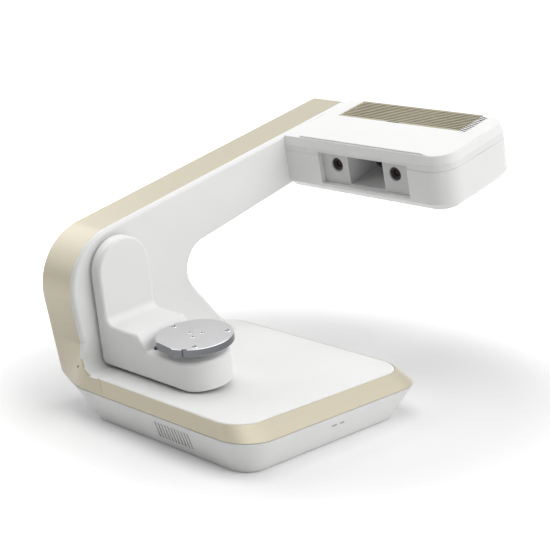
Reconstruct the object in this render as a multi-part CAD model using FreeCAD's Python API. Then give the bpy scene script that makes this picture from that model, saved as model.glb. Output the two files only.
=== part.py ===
"""Desktop 3D scanner: a tapered base, a side slab that rises and leans over it,
a camera head at the slab's upper end, and a tilting L-shaped arm that carries
a turntable under the head.

Lengths are millimetres and angles degrees. X runs to the right, Y to the back
and Z up. The sizes are laid out from the front left corner of the base, and the
finished pieces are moved so that the origin lies under the middle of the whole.
The head is drawn in the sloping arm's own directions: X across, S along the arm
and N square to it. The swing arm is drawn level and then tilted about its shaft.
"""
import FreeCAD
import Part

import math
import os

V = FreeCAD.Vector
X_DIR = V(1, 0, 0)
Y_DIR = V(0, 1, 0)
Z_DIR = V(0, 0, 1)

# Shared fits
seat_gap = 0.1
body_gap = 0.3
over_depth = 5.0
shell_wall = 2.5
least_edge_length = 0.001

# Base outline and heights
base_width = 260.0
base_depth = 233.0
foot_height = 1.2
tub_height = 28.35
band_height = 11.85
cover_step_height = 0.8
cover_thickness = 2.8
base_corner_radius = 32.0
tub_corner_radius = 20.0
band_corner_radius = 28.0
band_heel_radius = 24.0
tub_inset_front = 12.3
tub_inset_right = 11.7
tub_inset_back = 24.0
tub_inset_left = 32.0
band_inset_front = 5.0
band_inset_side = 14.6
band_inset_back = 10.0
tub_floor_thickness = 3.0
tub_facet_width = 30.0
tub_facet_depth = 40.0
cover_edge_inset = 1.2
cover_edge_radius = 2.2

# Side slab, drawn as lines seen from the right
slab_thickness = 44.0
ribbon_width = 39.5
ribbon_wall = 2.5
leg_inset_front = 19.1
leg_lean = 12.9
arm_rise = 14.63
arm_cover_height = 26.8
arm_end_station = 424.0
arm_depth_at_head = 53.0
arm_taper = 2.15
leg_inner_lean = 47.2
leg_inset_back = 37.7
slab_heel_depth = 2.0
knee_radius = 54.0
inner_radius = 27.0
foot_radius = 26.0
arm_end_top_radius = 12.0
arm_end_low_radius = 10.0
slab_edge_radius = 4.0

# Foot of the slab, where the gold ribbon sweeps into the base's front edge
sweep_width = 45.0
sweep_radius = 60.0
blend_height = 37.6
seam_x = 69.7
band_seam_x = 72.7
seam_slant_width = 10.6
parting_height = 0.4
parting_depth = 1.0
ribbon_arc_radius = 26.0
foot_fillet_radius = 11.0

# Camera head, in the arm's own directions
head_right_x = 242.3
head_front_s = 316.5
head_depth = 108.0
head_body_height = 40.5
head_lip_height = 6.3
head_cap_height = 8.6
head_drop_height = 1.0
plateau_height = 1.6
head_front_radius = 25.0
head_back_radius = 20.0
head_chamfer_width = 8.0
head_lip_inset = 0.4
head_top_inset = 2.5
plateau_left_x = 63.5
plateau_right_x = 213.0
plateau_ramp_width = 9.0
plateau_front_gap = 3.8

# Grille in the head's top
grille_start_s = 379.0
grille_pitch = 3.85
grille_slat_width = 2.0
grille_slats = 11

# Window, cameras and projector
scan_centre_x = 142.8
window_half_width = 55.0
window_sill_height = 11.0
window_top_gap = 3.0
window_depth = 5.0
camera_offset = 36.0
camera_drop_height = 12.5
camera_barrel_radius = 6.4
camera_sink_width = 0.9
bay_half_width = 23.5
bay_depth = 44.0
projector_drop_height = 12.8
projector_barrel_radius = 7.2
projector_nose_depth = 23.5

# Swing arm, drawn level and then tilted forward about its shaft
swing_tilt = 7.5
swing_gap = 3.5
swing_base_gap = 0.85
swing_width = 58.4
swing_plate_thickness = 11.0
swing_centre_v = 65.5
swing_axis_w = 123.6
platform_height = 26.6
shoulder_height = 14.0
shoulder_end_x = 98.5
shoulder_slope_width = 11.0
swing_corner_radius = 8.0
swing_low_radius = 5.0
swing_edge_radius = 3.0
swing_root_radius = 8.0
swing_cover_thickness = 2.0
round_share = 0.9999

# Turntable
disc_radius = 34.05
disc_thickness = 7.1
disc_height = 14.7
disc_bevel_width = 0.5
disc_facet_angles = (-116.7, -78.3)
disc_notch_angle = -58.8
disc_notch_width = 4.6
disc_notch_depth = 1.6
disc_screw_circle_radius = 6.2
disc_screw_angles = (180.0, 60.0, -60.0)
disc_pin_circle_radius = 28.5
disc_pin_angles = (176.6, 47.1, -43.4)
spindle_radius = 6.0

# Tilt drive inside the slab
frame_x = 24.0
frame_thickness = 5.0
tilt_shaft_radius = 5.0
tilt_boss_radius = 9.0
tilt_pulley_radius = 22.0
motor_pulley_radius = 7.0
tilt_motor_height = 37.5
tilt_motor_share = 0.355
motor_width = 42.0
belt_thickness = 1.6
belt_width = 6.0

# Heights and stations that follow from the sizes
split_z = tub_height
band_top_z = split_z + band_height
cover_top_z = band_top_z + cover_step_height
cover_low_z = cover_top_z - cover_thickness
blend_top_z = split_z + blend_height
leg_foot_y = base_depth - leg_inset_back
slab_back_y = leg_foot_y + slab_heel_depth
arm_top_offset = swing_axis_w + arm_cover_height
head_left_x = slab_thickness
head_back_s = head_front_s + head_depth
head_top_n = arm_top_offset - head_drop_height
head_lip_n = head_top_n - head_cap_height
head_split_n = head_lip_n - head_lip_height
head_bottom_n = head_split_n - head_body_height
window_bottom_n = head_bottom_n + window_sill_height
window_top_n = head_lip_n - window_top_gap
camera_n = window_top_n - camera_drop_height
projector_n = window_top_n - projector_drop_height
swing_back_x = slab_thickness + swing_gap
swing_face_x = swing_back_x + swing_plate_thickness
swing_half = swing_width / 2
lean_forward = math.radians(swing_tilt)
tilt_y = swing_centre_v * math.cos(lean_forward) - swing_axis_w * math.sin(lean_forward)
tilt_z = swing_centre_v * math.sin(lean_forward) + swing_axis_w * math.cos(lean_forward)
swing_reach = tilt_z - cover_top_z - swing_base_gap
swing_drop = swing_low_radius + math.sqrt(
    (swing_reach - swing_low_radius)**2 - (swing_half - swing_low_radius)**2)
swing_bottom_w = swing_axis_w - swing_drop
platform_top_w = swing_bottom_w + platform_height
shoulder_top_w = platform_top_w + shoulder_height
disc_top_w = platform_top_w + disc_height
disc_low_w = disc_top_w - disc_thickness
tilt_motor_y = leg_inset_front + (leg_foot_y - leg_inset_front) * tilt_motor_share
tilt_motor_z = cover_top_z + tilt_motor_height
window_left_x = scan_centre_x - window_half_width
window_right_x = scan_centre_x + window_half_width
window_plate_s = head_front_s + window_depth
slat_bed = grille_slats * grille_pitch

nodes = {}


# Outline helpers
def unit(a, b):
    """Unit direction from point a to point b in a plane."""
    length = math.hypot(b[0] - a[0], b[1] - a[1])
    return (b[0] - a[0]) / length, (b[1] - a[1]) / length


def crossing(p, d, q, e):
    """Point where the line from p along d meets the line from q along e."""
    det = d[0] * e[1] - d[1] * e[0]
    t = ((q[0] - p[0]) * e[1] - (q[1] - p[1]) * e[0]) / det
    return p[0] + t * d[0], p[1] + t * d[1]


def turn_at(points, i):
    """Signed turn of an outline at its point i, positive to the left."""
    a = unit(points[i - 1], points[i])
    b = unit(points[i], points[(i + 1) % len(points)])
    return math.atan2(a[0] * b[1] - a[1] * b[0], a[0] * b[0] + a[1] * b[1])


def inset(points, amounts):
    """Outline whose edges lie further in; edge i starts at point i."""
    count = len(points)
    if not isinstance(amounts, (list, tuple)):
        amounts = [amounts] * count
    lines = []
    for i in range(count):
        d = unit(points[i], points[(i + 1) % count])
        start = points[i][0] - d[1] * amounts[i], points[i][1] + d[0] * amounts[i]
        lines.append((start, d))
    return [crossing(*lines[i - 1], *lines[i]) for i in range(count)]


def on_plan(z):
    """Places an outline's points level at height z."""
    return lambda p: V(p[0], p[1], z)


def on_side(x):
    """Places an outline's points in the plane at x, seen from the right."""
    return lambda p: V(x, p[0], p[1])


def on_front(y):
    """Places an outline's points in the plane at y, seen from the front."""
    return lambda p: V(p[0], y, p[1])


def outline(points, radii, place):
    """Closed wire through the points, with each corner rounded by its radius."""
    corners = []
    for i, here in enumerate(points):
        radius = radii[i]
        if radius <= 0:
            corners.append((here, None, here))
            continue
        before = unit(here, points[i - 1])
        after = unit(here, points[(i + 1) % len(points)])
        half = abs(turn_at(points, i)) / 2
        reach = radius * math.tan(half)
        middle = unit((0, 0), (before[0] + after[0], before[1] + after[1]))
        depth = radius / math.cos(half) - radius
        corners.append((
            (here[0] + before[0] * reach, here[1] + before[1] * reach),
            (here[0] + middle[0] * depth, here[1] + middle[1] * depth),
            (here[0] + after[0] * reach, here[1] + after[1] * reach)))
    edges = []
    for i, (first, mid, last) in enumerate(corners):
        if mid is not None:
            edges.append(Part.Arc(place(first), place(mid), place(last)).toShape())
        following = corners[(i + 1) % len(corners)][0]
        if math.dist(last, following) > least_edge_length:
            edges.append(Part.LineSegment(place(last), place(following)).toShape())
    return Part.Wire(edges)


def prism(points, radii, place, direction):
    """Solid made by pushing a rounded outline along a direction."""
    if not isinstance(radii, (list, tuple)):
        radii = [radii] * len(points)
    return Part.Face(outline(points, radii, place)).extrude(direction)


def loft(wires):
    """Straight-sided solid between closed wires."""
    return Part.makeLoft(wires, True, True)


def block(x0, x1, y0, y1, z0, z1):
    """Box between two corners."""
    return Part.makeBox(x1 - x0, y1 - y0, z1 - z0, V(x0, y0, z0))


def rod(radius, start, end):
    """Round rod between two points."""
    axis = end - start
    return Part.makeCylinder(radius, axis.Length, start, axis)


def tube(outer, inner, start, end):
    """Round tube between two points."""
    return rod(outer, start, end).cut(rod(inner, start, end))


def merged(*shapes):
    """One shape from overlapping shapes, with the split faces joined."""
    result = shapes[0].multiFuse(list(shapes[1:])).removeSplitter()
    return result.Solids[0] if len(result.Solids) == 1 else result


def rounded(shape, radius, chosen):
    """Shape with the edges that pass a test rounded."""
    edges = [edge for edge in shape.Edges if chosen(edge)]
    return shape.makeFillet(radius, edges)


def group(shapes):
    """Several separate solids kept in one node."""
    solids = []
    for shape in shapes:
        solids.extend(shape.Solids)
    return Part.makeCompound(solids)


# Slab outline, seen from the right as Y and Z
rise = math.radians(arm_rise)
arm_along = (math.cos(rise), math.sin(rise))
arm_up = (-math.sin(rise), math.cos(rise))


def arm_point(s, n):
    """Y and Z of a point given along and square to the sloping arm."""
    return s * arm_along[0] + n * arm_up[0], s * arm_along[1] + n * arm_up[1]


def leg_front(z):
    """Y of the leg's straight front edge at height z."""
    return leg_inset_front - math.tan(math.radians(leg_lean)) * (z - split_z)


def slab_points(bottom_z):
    """Corners of the slab: bottom, rear foot, inside of the C, arm end, knee."""
    low = rise + math.radians(arm_taper)
    lower_start = arm_point(head_front_s, arm_top_offset - arm_depth_at_head)
    lower_dir = (math.cos(low), math.sin(low))
    lean = math.radians(leg_inner_lean)
    inner = crossing((leg_foot_y, cover_top_z), (-math.cos(lean), math.sin(lean)),
                     lower_start, lower_dir)
    end_low = crossing(lower_start, lower_dir, arm_point(arm_end_station, 0), arm_up)
    end_top = arm_point(arm_end_station, arm_top_offset)
    front = (leg_front(bottom_z), bottom_z)
    leg_dir = unit(front, (leg_front(blend_top_z), blend_top_z))
    knee = crossing(front, leg_dir, arm_point(0, arm_top_offset), arm_along)
    return [front, (slab_back_y, bottom_z), (slab_back_y, cover_top_z),
            (leg_foot_y, cover_top_z), inner, end_low, end_top, knee]


slab_radii = [0, 0, 0, foot_radius, inner_radius, arm_end_low_radius,
              arm_end_top_radius, knee_radius]


def slab_solid(bottom_z, x0, x1, amounts=(0,) * 8):
    """Slice of the slab from x0 to x1, its edges moved in by the amounts."""
    points = slab_points(bottom_z)
    radii = []
    for i, radius in enumerate(slab_radii):
        step = min(amounts[i - 1], amounts[i])
        change = -step if turn_at(points, i) > 0 else step
        radii.append(max(radius + change, 0) if radius > 0 else 0)
    return prism(inset(points, list(amounts)), radii, on_side(x0), X_DIR * (x1 - x0))


def slab_strip(bottom_z, x0, x1, walls, start=0):
    """Wall of the slab along the edges that have a wall, open along the others."""
    solid = slab_solid(bottom_z, x0, x1, tuple(start if w else 0 for w in walls))
    amounts = [start + w if w else -over_depth * over_depth for w in walls]
    points = inset(slab_points(bottom_z), amounts)
    radii = []
    for i, radius in enumerate(slab_radii):
        both = walls[i - 1] and walls[i]
        change = -(start + walls[i]) if turn_at(slab_points(bottom_z), i) > 0 else start + walls[i]
        radii.append(max(radius + change, 0) if both and radius > 0 else 0)
    hollow = prism(points, radii, on_side(x0 - over_depth), X_DIR * (x1 - x0 + 2 * over_depth))
    return solid.cut(hollow)


outer_walls = (0, 0, 0, 0, 0, 1, 1, 1)
inner_walls = (0, 0, 1, 1, 1, 0, 0, 0)


def walls_of(flags, thickness):
    """Wall thickness for each slab edge that a flag picks."""
    return tuple(flag * thickness for flag in flags)


# Base outlines, seen from above as X and Y
def base_points(height_share):
    """Corners of the tub at a share of its height, from its foot to its rim."""
    low = [(tub_inset_left + tub_facet_width, tub_inset_front),
           (base_width - tub_inset_right, tub_inset_front),
           (base_width - tub_inset_right, base_depth - tub_inset_back),
           (tub_inset_left, base_depth - tub_inset_back),
           (tub_inset_left, tub_inset_front + tub_facet_depth)]
    high = [(sweep_width, 0), (base_width, 0), (base_width, base_depth),
            (0, base_depth), (0, leg_inset_front)]
    return [(a[0] + (b[0] - a[0]) * height_share, a[1] + (b[1] - a[1]) * height_share)
            for a, b in zip(low, high)]


tub_low_radii = [tub_corner_radius / 2, tub_corner_radius, tub_corner_radius,
                 tub_corner_radius, tub_corner_radius / 2]
tub_high_radii = [sweep_radius, base_corner_radius, base_corner_radius,
                  base_corner_radius, slab_edge_radius]


def band_points():
    """Corners of the gold band's top edge."""
    left, right = band_inset_side, base_width - band_inset_side
    return [(sweep_width, band_inset_front), (right, band_inset_front),
            (right, base_depth - band_inset_back), (left, base_depth - band_inset_back),
            (left, leg_inset_front)]


band_radii = [sweep_radius, band_corner_radius, band_corner_radius,
              band_heel_radius, slab_edge_radius]


def tub_loft(z0, z1, wall):
    """Tapered body of the tub between two heights, its sides moved in by a wall."""
    wires = []
    for z in (z0, z1):
        share = z / tub_height
        points = base_points(share)
        radii = [a + (b - a) * share for a, b in zip(tub_low_radii, tub_high_radii)]
        kept = [max(r - wall, wall) for r in radii]
        wires.append(outline(inset(points, wall), kept, on_plan(z)))
    return loft(wires)


def band_loft(wall):
    """Leaning body between the tub's rim and the band's top, moved in by a wall."""
    wires = []
    for z, points, radii in ((split_z, base_points(1), tub_high_radii),
                             (band_top_z, band_points(), band_radii)):
        kept = [max(r - wall, wall) for r in radii]
        wires.append(outline(inset(points, wall), kept, on_plan(z)))
    return loft(wires)


def cover_points(amount):
    """Corners of the white top, moved out from its own edge by an amount."""
    edge = cover_edge_inset - amount
    left, right = band_inset_side + edge, base_width - band_inset_side - edge
    front, back = band_inset_front + edge, base_depth - band_inset_back - edge
    inner = ribbon_width + seat_gap - amount
    rear = slab_back_y - amount
    return [(inner, front), (right, front), (right, back), (left, back),
            (left, rear), (inner, rear)]


def cover_body(amount, top_z):
    """Whole white top from its ledge up, before it is cut at the seam."""
    corner = band_corner_radius - cover_edge_inset + amount
    heel = band_heel_radius - cover_edge_inset + amount
    radii = [0, corner, corner, heel, 0, 0]
    return prism(cover_points(amount), radii, on_plan(cover_low_z),
                 Z_DIR * (top_z - cover_low_z))


# Sweeping foot of the slab
def sweep_body(shift):
    """Block whose front face twists from the leg's lean to the base's front edge."""
    depth = leg_inset_front + over_depth + foot_radius
    far = band_seam_x + seam_slant_width + foot_radius
    lean_out = band_inset_front / band_height * blend_height
    low = [(0, leg_inset_front), (sweep_width, 0), (far, 0), (far, depth), (0, depth)]
    high = [(0, leg_front(blend_top_z)), (sweep_width, leg_front(blend_top_z)),
            (far, lean_out), (far, depth), (0, depth)]
    radii = [0, sweep_radius, 0, 0, 0]
    body = loft([outline(low, radii, on_plan(split_z)),
                 outline(high, radii, on_plan(blend_top_z))])
    body.translate(V(0, shift, 0))
    return body


def ribbon_region(grow):
    """Front view of the ribbon's foot: a strip down the leg and along the band."""
    points = [(-over_depth, split_z), (band_seam_x + seam_slant_width + grow, split_z),
              (band_seam_x + grow, band_top_z + grow), (ribbon_width + grow, band_top_z + grow),
              (ribbon_width + grow, blend_top_z), (-over_depth, blend_top_z)]
    radii = [0, 0, 0, ribbon_arc_radius - grow, 0, 0]
    return prism(points, radii, on_front(-over_depth),
                 Y_DIR * (2 * over_depth + leg_inset_front + foot_radius))


def sweep_skin(depth, grow):
    """Gold skin of the sweeping foot, as deep as asked."""
    skin = sweep_body(0).cut(sweep_body(depth))
    return skin.common(ribbon_region(grow))


# Base pieces
panel_half_width = 40.0
panel_height = 20.0
panel_thickness = 1.5
panel_recess = 6.0
panel_centre_x = base_width / 2
panel_low_z = tub_floor_thickness + shell_wall
panel_y = base_depth - tub_inset_back - panel_recess
vent_count = 11
vent_pitch = 4.0
vent_width = 1.8
vent_start_x = 148.0
vent_low_z = 6.9
vent_high_z = 22.5
light_low_z = 17.6
light_height = 1.6
light_depth = 4.0
light_front_y = 106.6
light_front_length = 6.1
light_back_y = 117.0
light_back_length = 5.4
chassis_z = 16.0
chassis_thickness = 3.0
chassis_inset = 8.0
post_radius = 5.0
post_inset = 30.0
post_bore_radius = 1.7
screw_head_radius = 3.0
screw_head_height = 2.0


def light_spans():
    """Start and length of each light slot along the tub's right side."""
    return (light_front_y, light_front_length), (light_back_y, light_back_length)


def post_places():
    """Centres of the four chassis posts."""
    x0 = tub_inset_left + post_inset
    x1 = base_width - tub_inset_right - post_inset
    y0 = tub_inset_front + post_inset
    y1 = base_depth - tub_inset_back - post_inset
    return [(x0, y0), (x1, y0), (x1, y1), (x0, y1)]


def foot_places():
    """Centres of the four rubber feet."""
    out = post_inset / 2
    x0 = tub_inset_left + tub_facet_width / 2 + out / 2
    x1 = base_width - tub_inset_right - out
    y0 = tub_inset_front + out
    y1 = base_depth - tub_inset_back - out
    return [(x0 + out, y0), (x1, y0), (x1, y1), (x0, y1)]


foot_pad_radius = 8.0
foot_seat_depth = 1.0


def make_tub():
    """Tapered lower shell with vents, light slots, posts and the rear port bay."""
    outer = tub_loft(0, split_z, 0)
    floor_z = tub_floor_thickness
    inner = tub_loft(floor_z, split_z, shell_wall)
    bay = block(panel_centre_x - panel_half_width - shell_wall,
                panel_centre_x + panel_half_width + shell_wall,
                panel_y - panel_thickness, base_depth,
                floor_z, panel_low_z + panel_height + shell_wall)
    bay = bay.common(outer)
    tub = outer.cut(inner)
    posts = [rod(post_radius, V(x, y, floor_z - seat_gap), V(x, y, chassis_z))
             for x, y in post_places()]
    tub = merged(tub, bay, *posts)
    cuts = [block(panel_centre_x - panel_half_width, panel_centre_x + panel_half_width,
                  panel_y - panel_thickness - over_depth, base_depth + over_depth,
                  panel_low_z, panel_low_z + panel_height)]
    for i in range(vent_count):
        x = vent_start_x + i * vent_pitch
        cuts.append(block(x - vent_width / 2, x + vent_width / 2, -over_depth,
                          tub_inset_front + 2 * shell_wall, vent_low_z, vent_high_z))
    for start, length in light_spans():
        cuts.append(block(base_width - tub_inset_right - 2 * shell_wall, base_width + over_depth,
                          start, start + length, light_low_z, light_low_z + light_height))
    for x, y in post_places():
        cuts.append(rod(post_bore_radius, V(x, y, 0), V(x, y, chassis_z + over_depth)))
        cuts.append(rod(screw_head_radius + seat_gap, V(x, y, 0), V(x, y, screw_head_height)))
    for x, y in foot_places():
        cuts.append(rod(foot_pad_radius + seat_gap, V(x, y, 0), V(x, y, foot_seat_depth)))
    return tub.cut(Part.makeCompound(cuts))


def make_feet():
    """Four rubber pads seated in the tub's underside."""
    return group([rod(foot_pad_radius, V(x, y, -foot_height), V(x, y, foot_seat_depth))
                  for x, y in foot_places()])


def make_chassis():
    """Steel plate on the posts that carries the slab's frame and the boards."""
    share = chassis_z / tub_height
    points = inset(base_points(share), chassis_inset)
    plate = prism(points, tub_corner_radius / 2, on_plan(chassis_z),
                  Z_DIR * chassis_thickness)
    notch = block(panel_centre_x - panel_half_width - 2 * shell_wall,
                  panel_centre_x + panel_half_width + 2 * shell_wall,
                  panel_y - 2 * panel_thickness - port_depth, base_depth,
                  0, split_z)
    holes = [rod(post_bore_radius, V(x, y, 0), V(x, y, split_z)) for x, y in post_places()]
    return plate.cut(Part.makeCompound([notch] + holes))


def make_chassis_screws():
    """Four screws from below, through the posts into the chassis."""
    screws = []
    for x, y in post_places():
        head = rod(screw_head_radius, V(x, y, 0), V(x, y, screw_head_height))
        shank = rod(post_bore_radius, V(x, y, 0), V(x, y, chassis_z + chassis_thickness))
        screws.append(merged(head, shank))
    return group(screws)


def make_lights():
    """Two clear light bars, flush in the right side of the tub."""
    skin = tub_loft(0, split_z, 0).cut(tub_loft(0, split_z, light_depth))
    bars = []
    for start, length in light_spans():
        bar = block(base_width - 2 * tub_inset_right, base_width + over_depth,
                    start + seat_gap, start + length - seat_gap,
                    light_low_z + seat_gap, light_low_z + light_height - seat_gap)
        bars.append(bar.common(skin))
    return group(bars)


port_depth = 14.0
inlet_radius = 4.5
usb_width = 12.0
usb_height = 10.5
port_pitch = 24.0
port_rim_width = 1.5
port_z = panel_low_z + panel_height / 2
switch_width = 9.0
switch_height = 14.0
rocker_radius = 8.0


def make_panel():
    """Rear plate with holes for the power inlet, the data port and the switch."""
    plate = block(panel_centre_x - panel_half_width + seat_gap,
                  panel_centre_x + panel_half_width - seat_gap,
                  panel_y - panel_thickness, panel_y,
                  panel_low_z + seat_gap, panel_low_z + panel_height - seat_gap)
    x = panel_centre_x
    inlet = rod(inlet_radius + port_rim_width, V(x + port_pitch, panel_y - over_depth, port_z),
                V(x + port_pitch, panel_y + over_depth, port_z))
    usb = block(x - usb_width / 2, x + usb_width / 2, panel_y - over_depth, panel_y + over_depth,
                port_z - usb_height / 2, port_z + usb_height / 2)
    hole = block(x - port_pitch - switch_width / 2 - port_rim_width,
                 x - port_pitch + switch_width / 2 + port_rim_width,
                 panel_y - over_depth, panel_y + over_depth,
                 port_z - switch_height / 2 - port_rim_width / 2,
                 port_z + switch_height / 2 + port_rim_width / 2)
    return plate.cut(Part.makeCompound([inlet, usb, hole]))


def make_inlet():
    """Round low-voltage power inlet with its centre pin."""
    x = panel_centre_x + port_pitch
    back = panel_y - panel_thickness - port_depth
    body = rod(inlet_radius + port_rim_width - seat_gap, V(x, back, port_z),
               V(x, panel_y + panel_thickness, port_z))
    well = rod(inlet_radius - port_rim_width, V(x, back + port_rim_width, port_z),
               V(x, panel_y + over_depth, port_z))
    pin = rod(port_rim_width / 2, V(x, back, port_z), V(x, panel_y, port_z))
    return merged(body.cut(well), pin)


def make_usb():
    """Square data socket with its tongue."""
    x = panel_centre_x
    back = panel_y - panel_thickness - port_depth
    half_w, half_h = usb_width / 2 - seat_gap, usb_height / 2 - seat_gap
    body = block(x - half_w, x + half_w, back, panel_y + panel_thickness / 2,
                 port_z - half_h, port_z + half_h)
    well = block(x - half_w + port_rim_width, x + half_w - port_rim_width, back + port_rim_width,
                 panel_y + over_depth, port_z - half_h + port_rim_width, port_z + half_h - port_rim_width)
    tongue = block(x - half_w / 2, x + half_w / 2, back, panel_y - port_rim_width,
                   port_z - port_rim_width, port_z + port_rim_width)
    return merged(body.cut(well), tongue)


def switch_place():
    """X of the power switch and Y of its rocker's pivot."""
    return panel_centre_x - port_pitch, panel_y - rocker_radius / 2


def make_switch_frame():
    """Frame of the power switch, with a well for the rocker."""
    x, pivot_y = switch_place()
    half_w, half_h = switch_width / 2, switch_height / 2
    rim = port_rim_width - seat_gap
    frame = block(x - half_w - rim, x + half_w + rim,
                  panel_y - panel_thickness - port_depth, panel_y + panel_thickness / 2,
                  port_z - half_h - rim / 2, port_z + half_h + rim / 2)
    well = block(x - half_w + body_gap, x + half_w - body_gap,
                 pivot_y - rocker_radius, panel_y + over_depth,
                 port_z - half_h + body_gap, port_z + half_h - body_gap)
    pivot = rod(port_rim_width / 2, V(x - half_w - rim / 2, pivot_y, port_z),
                V(x + half_w + rim / 2, pivot_y, port_z))
    return frame.cut(well).cut(pivot)


rocker_dish = 8.0


def make_rocker():
    """Rocker of the power switch, tipped about its pivot pin."""
    x, pivot_y = switch_place()
    half_w = switch_width / 2 - 2 * body_gap
    half_h = switch_height / 2 - 4 * body_gap
    nose = panel_y + panel_thickness
    lean = math.radians(rocker_dish)
    drop = half_h * math.tan(lean)
    points = [(pivot_y - rocker_radius / 3, port_z - half_h / 2),
              (nose - drop, port_z - half_h), (nose - drop / 3, port_z),
              (nose - drop, port_z + half_h), (pivot_y - rocker_radius / 3, port_z + half_h / 2)]
    body = prism(points, 0, on_side(x - half_w), X_DIR * (2 * half_w))
    pin_half = switch_width / 2 + port_rim_width / 2 - seat_gap
    pin = rod(port_rim_width / 2 - seat_gap / 2, V(x - pin_half, pivot_y, port_z),
              V(x + pin_half, pivot_y, port_z))
    rocker = merged(body, pin)
    rocker.rotate(V(x, pivot_y, port_z), X_DIR, rocker_dish)
    return rocker


board_thickness = 1.6
board_standoff_height = 4.0
board_width = 90.0
board_depth = 70.0
chip_width = 18.0
chip_height = 2.2


def make_main_board():
    """Main circuit board on its pillars, with chips and a capacitor row."""
    x0 = base_width / 2
    y0 = base_depth / 3
    z0 = chassis_z + chassis_thickness
    top = z0 + board_standoff_height + board_thickness
    board = block(x0, x0 + board_width, y0, y0 + board_depth,
                  z0 + board_standoff_height, top)
    parts = [board]
    rim = board_standoff_height
    for x in (x0 + rim, x0 + board_width - rim):
        for y in (y0 + rim, y0 + board_depth - rim):
            parts.append(rod(rim / 2, V(x, y, z0), V(x, y, top)))
    side, height = chip_width, chip_height
    for k in (1, 3):
        x = x0 + board_width * k / 4 - side / 2
        y = y0 + board_depth / 2 - side / 2
        parts.append(block(x, x + side, y, y + side, top, top + height))
    return merged(*parts)


def parting_slice(outer, inner):
    """Thin layer over the tub's rim that is cut away for the dark parting line."""
    layer = block(-over_depth, base_width + over_depth, -over_depth, base_depth + over_depth,
                  split_z - over_depth, split_z + parting_height)
    return outer.cut(inner).common(layer)


def make_band():
    """Gold band round the right and the back of the base."""
    ring = band_loft(0).cut(band_loft(shell_wall))
    ring = ring.cut(parting_slice(band_loft(0), band_loft(parting_depth)))
    left = block(-over_depth, slab_thickness, -over_depth, slab_back_y + seat_gap, 0, cover_top_z)
    ring = ring.cut(ribbon_region(seat_gap)).cut(left)
    return ring.cut(cover_body(seat_gap, cover_top_z + over_depth))


def make_cover():
    """White top of the base, to the right of the seam."""
    body = cover_body(0, cover_top_z)
    body = rounded(body, cover_edge_radius, top_rim_edge)
    keep = block(seam_x + seat_gap, base_width, 0, base_depth, 0, cover_top_z + over_depth)
    return body.common(keep)


def top_rim_edge(edge):
    """True for the cover's top edges that border the band."""
    box = edge.BoundBox
    level = box.ZMin > cover_top_z - seat_gap
    inner = ribbon_width + slab_thickness / 4
    return level and (box.XMax > inner or box.YMin > slab_back_y + over_depth)


# Slab pieces
def make_ribbon():
    """Gold ribbon along the slab's outer edge, from the base's front to the arm's end."""
    strip = slab_strip(split_z, 0, ribbon_width, walls_of(outer_walls, ribbon_wall))
    keep = block(-over_depth, slab_thickness, -base_depth, 2 * base_width, blend_top_z,
                 2 * base_width)
    foot = sweep_skin(ribbon_wall, 0)
    foot = foot.cut(parting_slice(sweep_body(0), sweep_body(parting_depth)))
    ribbon = merged(strip.common(keep), foot)
    return ribbon.cut(cover_body(seat_gap, cover_top_z + over_depth))


shell_boss_radius = 4.5
shell_boss_bore_radius = 1.6
shell_boss_shares = (0.28, 0.55, 0.82)


def boss_places():
    """Y and Z of the bosses that tie the shells to the frame."""
    mid_n = arm_top_offset - arm_depth_at_head / 2
    spots = [arm_point(arm_end_station * share, mid_n) for share in shell_boss_shares]
    half_leg = (leg_foot_y + leg_inset_front) / 2
    low = cover_top_z + (foot_radius - shell_boss_radius) / 2
    spots.append((half_leg - foot_radius, low))
    spots.append((half_leg + foot_radius, low))
    return spots


def make_left_shell():
    """White outer side of the slab, with bosses that reach the frame."""
    x0, x1 = seat_gap, seat_gap + shell_wall
    edge = ribbon_wall + seat_gap
    plate = slab_solid(split_z, x0, x1, walls_of(outer_walls, edge))
    wall = slab_strip(split_z, x1 - seat_gap, slab_thickness / 2 - seat_gap,
                      walls_of(inner_walls, shell_wall))
    keep = block(-over_depth, slab_thickness, -base_depth, 2 * base_width, cover_top_z - shell_wall,
                 2 * base_width)
    bosses = [rod(shell_boss_radius, V(x1 - seat_gap, y, z), V(frame_x, y, z))
              for y, z in boss_places()]
    end = slab_solid(split_z, x0, slab_thickness, walls_of(outer_walls, edge))
    shell = merged(plate, wall.common(keep).common(end), *bosses)
    drills = []
    for y, z in boss_places():
        drills.append(rod(shell_boss_bore_radius, V(-over_depth, y, z), V(frame_x + over_depth, y, z)))
        drills.append(rod(screw_head_radius + seat_gap, V(-over_depth, y, z),
                          V(seat_gap + screw_head_height, y, z)))
    return shell.cut(Part.makeCompound(drills))


def make_shell_screws():
    """Screws from the slab's left side through the bosses into the frame."""
    screws = []
    for y, z in boss_places():
        head = rod(screw_head_radius, V(2 * seat_gap, y, z),
                   V(seat_gap + screw_head_height, y, z))
        shank = rod(shell_boss_bore_radius, V(2 * seat_gap, y, z),
                    V(frame_x + frame_thickness, y, z))
        screws.append(merged(head, shank))
    return group(screws)


port_half_depth = 16.0
port_low_height = 14.0
port_top_gap = 0.8
port_low_n = head_bottom_n + port_low_height
port_high_n = head_lip_n - port_top_gap


def head_port(x0, x1, grow):
    """Passage between arm and head for the bench's tongue and the wiring."""
    middle = (bench_s + bench_s + bench_thickness) / 2
    port = block(x0, x1, middle - port_half_depth - grow, middle + port_half_depth + grow,
                 port_low_n - grow, port_high_n + grow)
    return in_arm(port)


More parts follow.
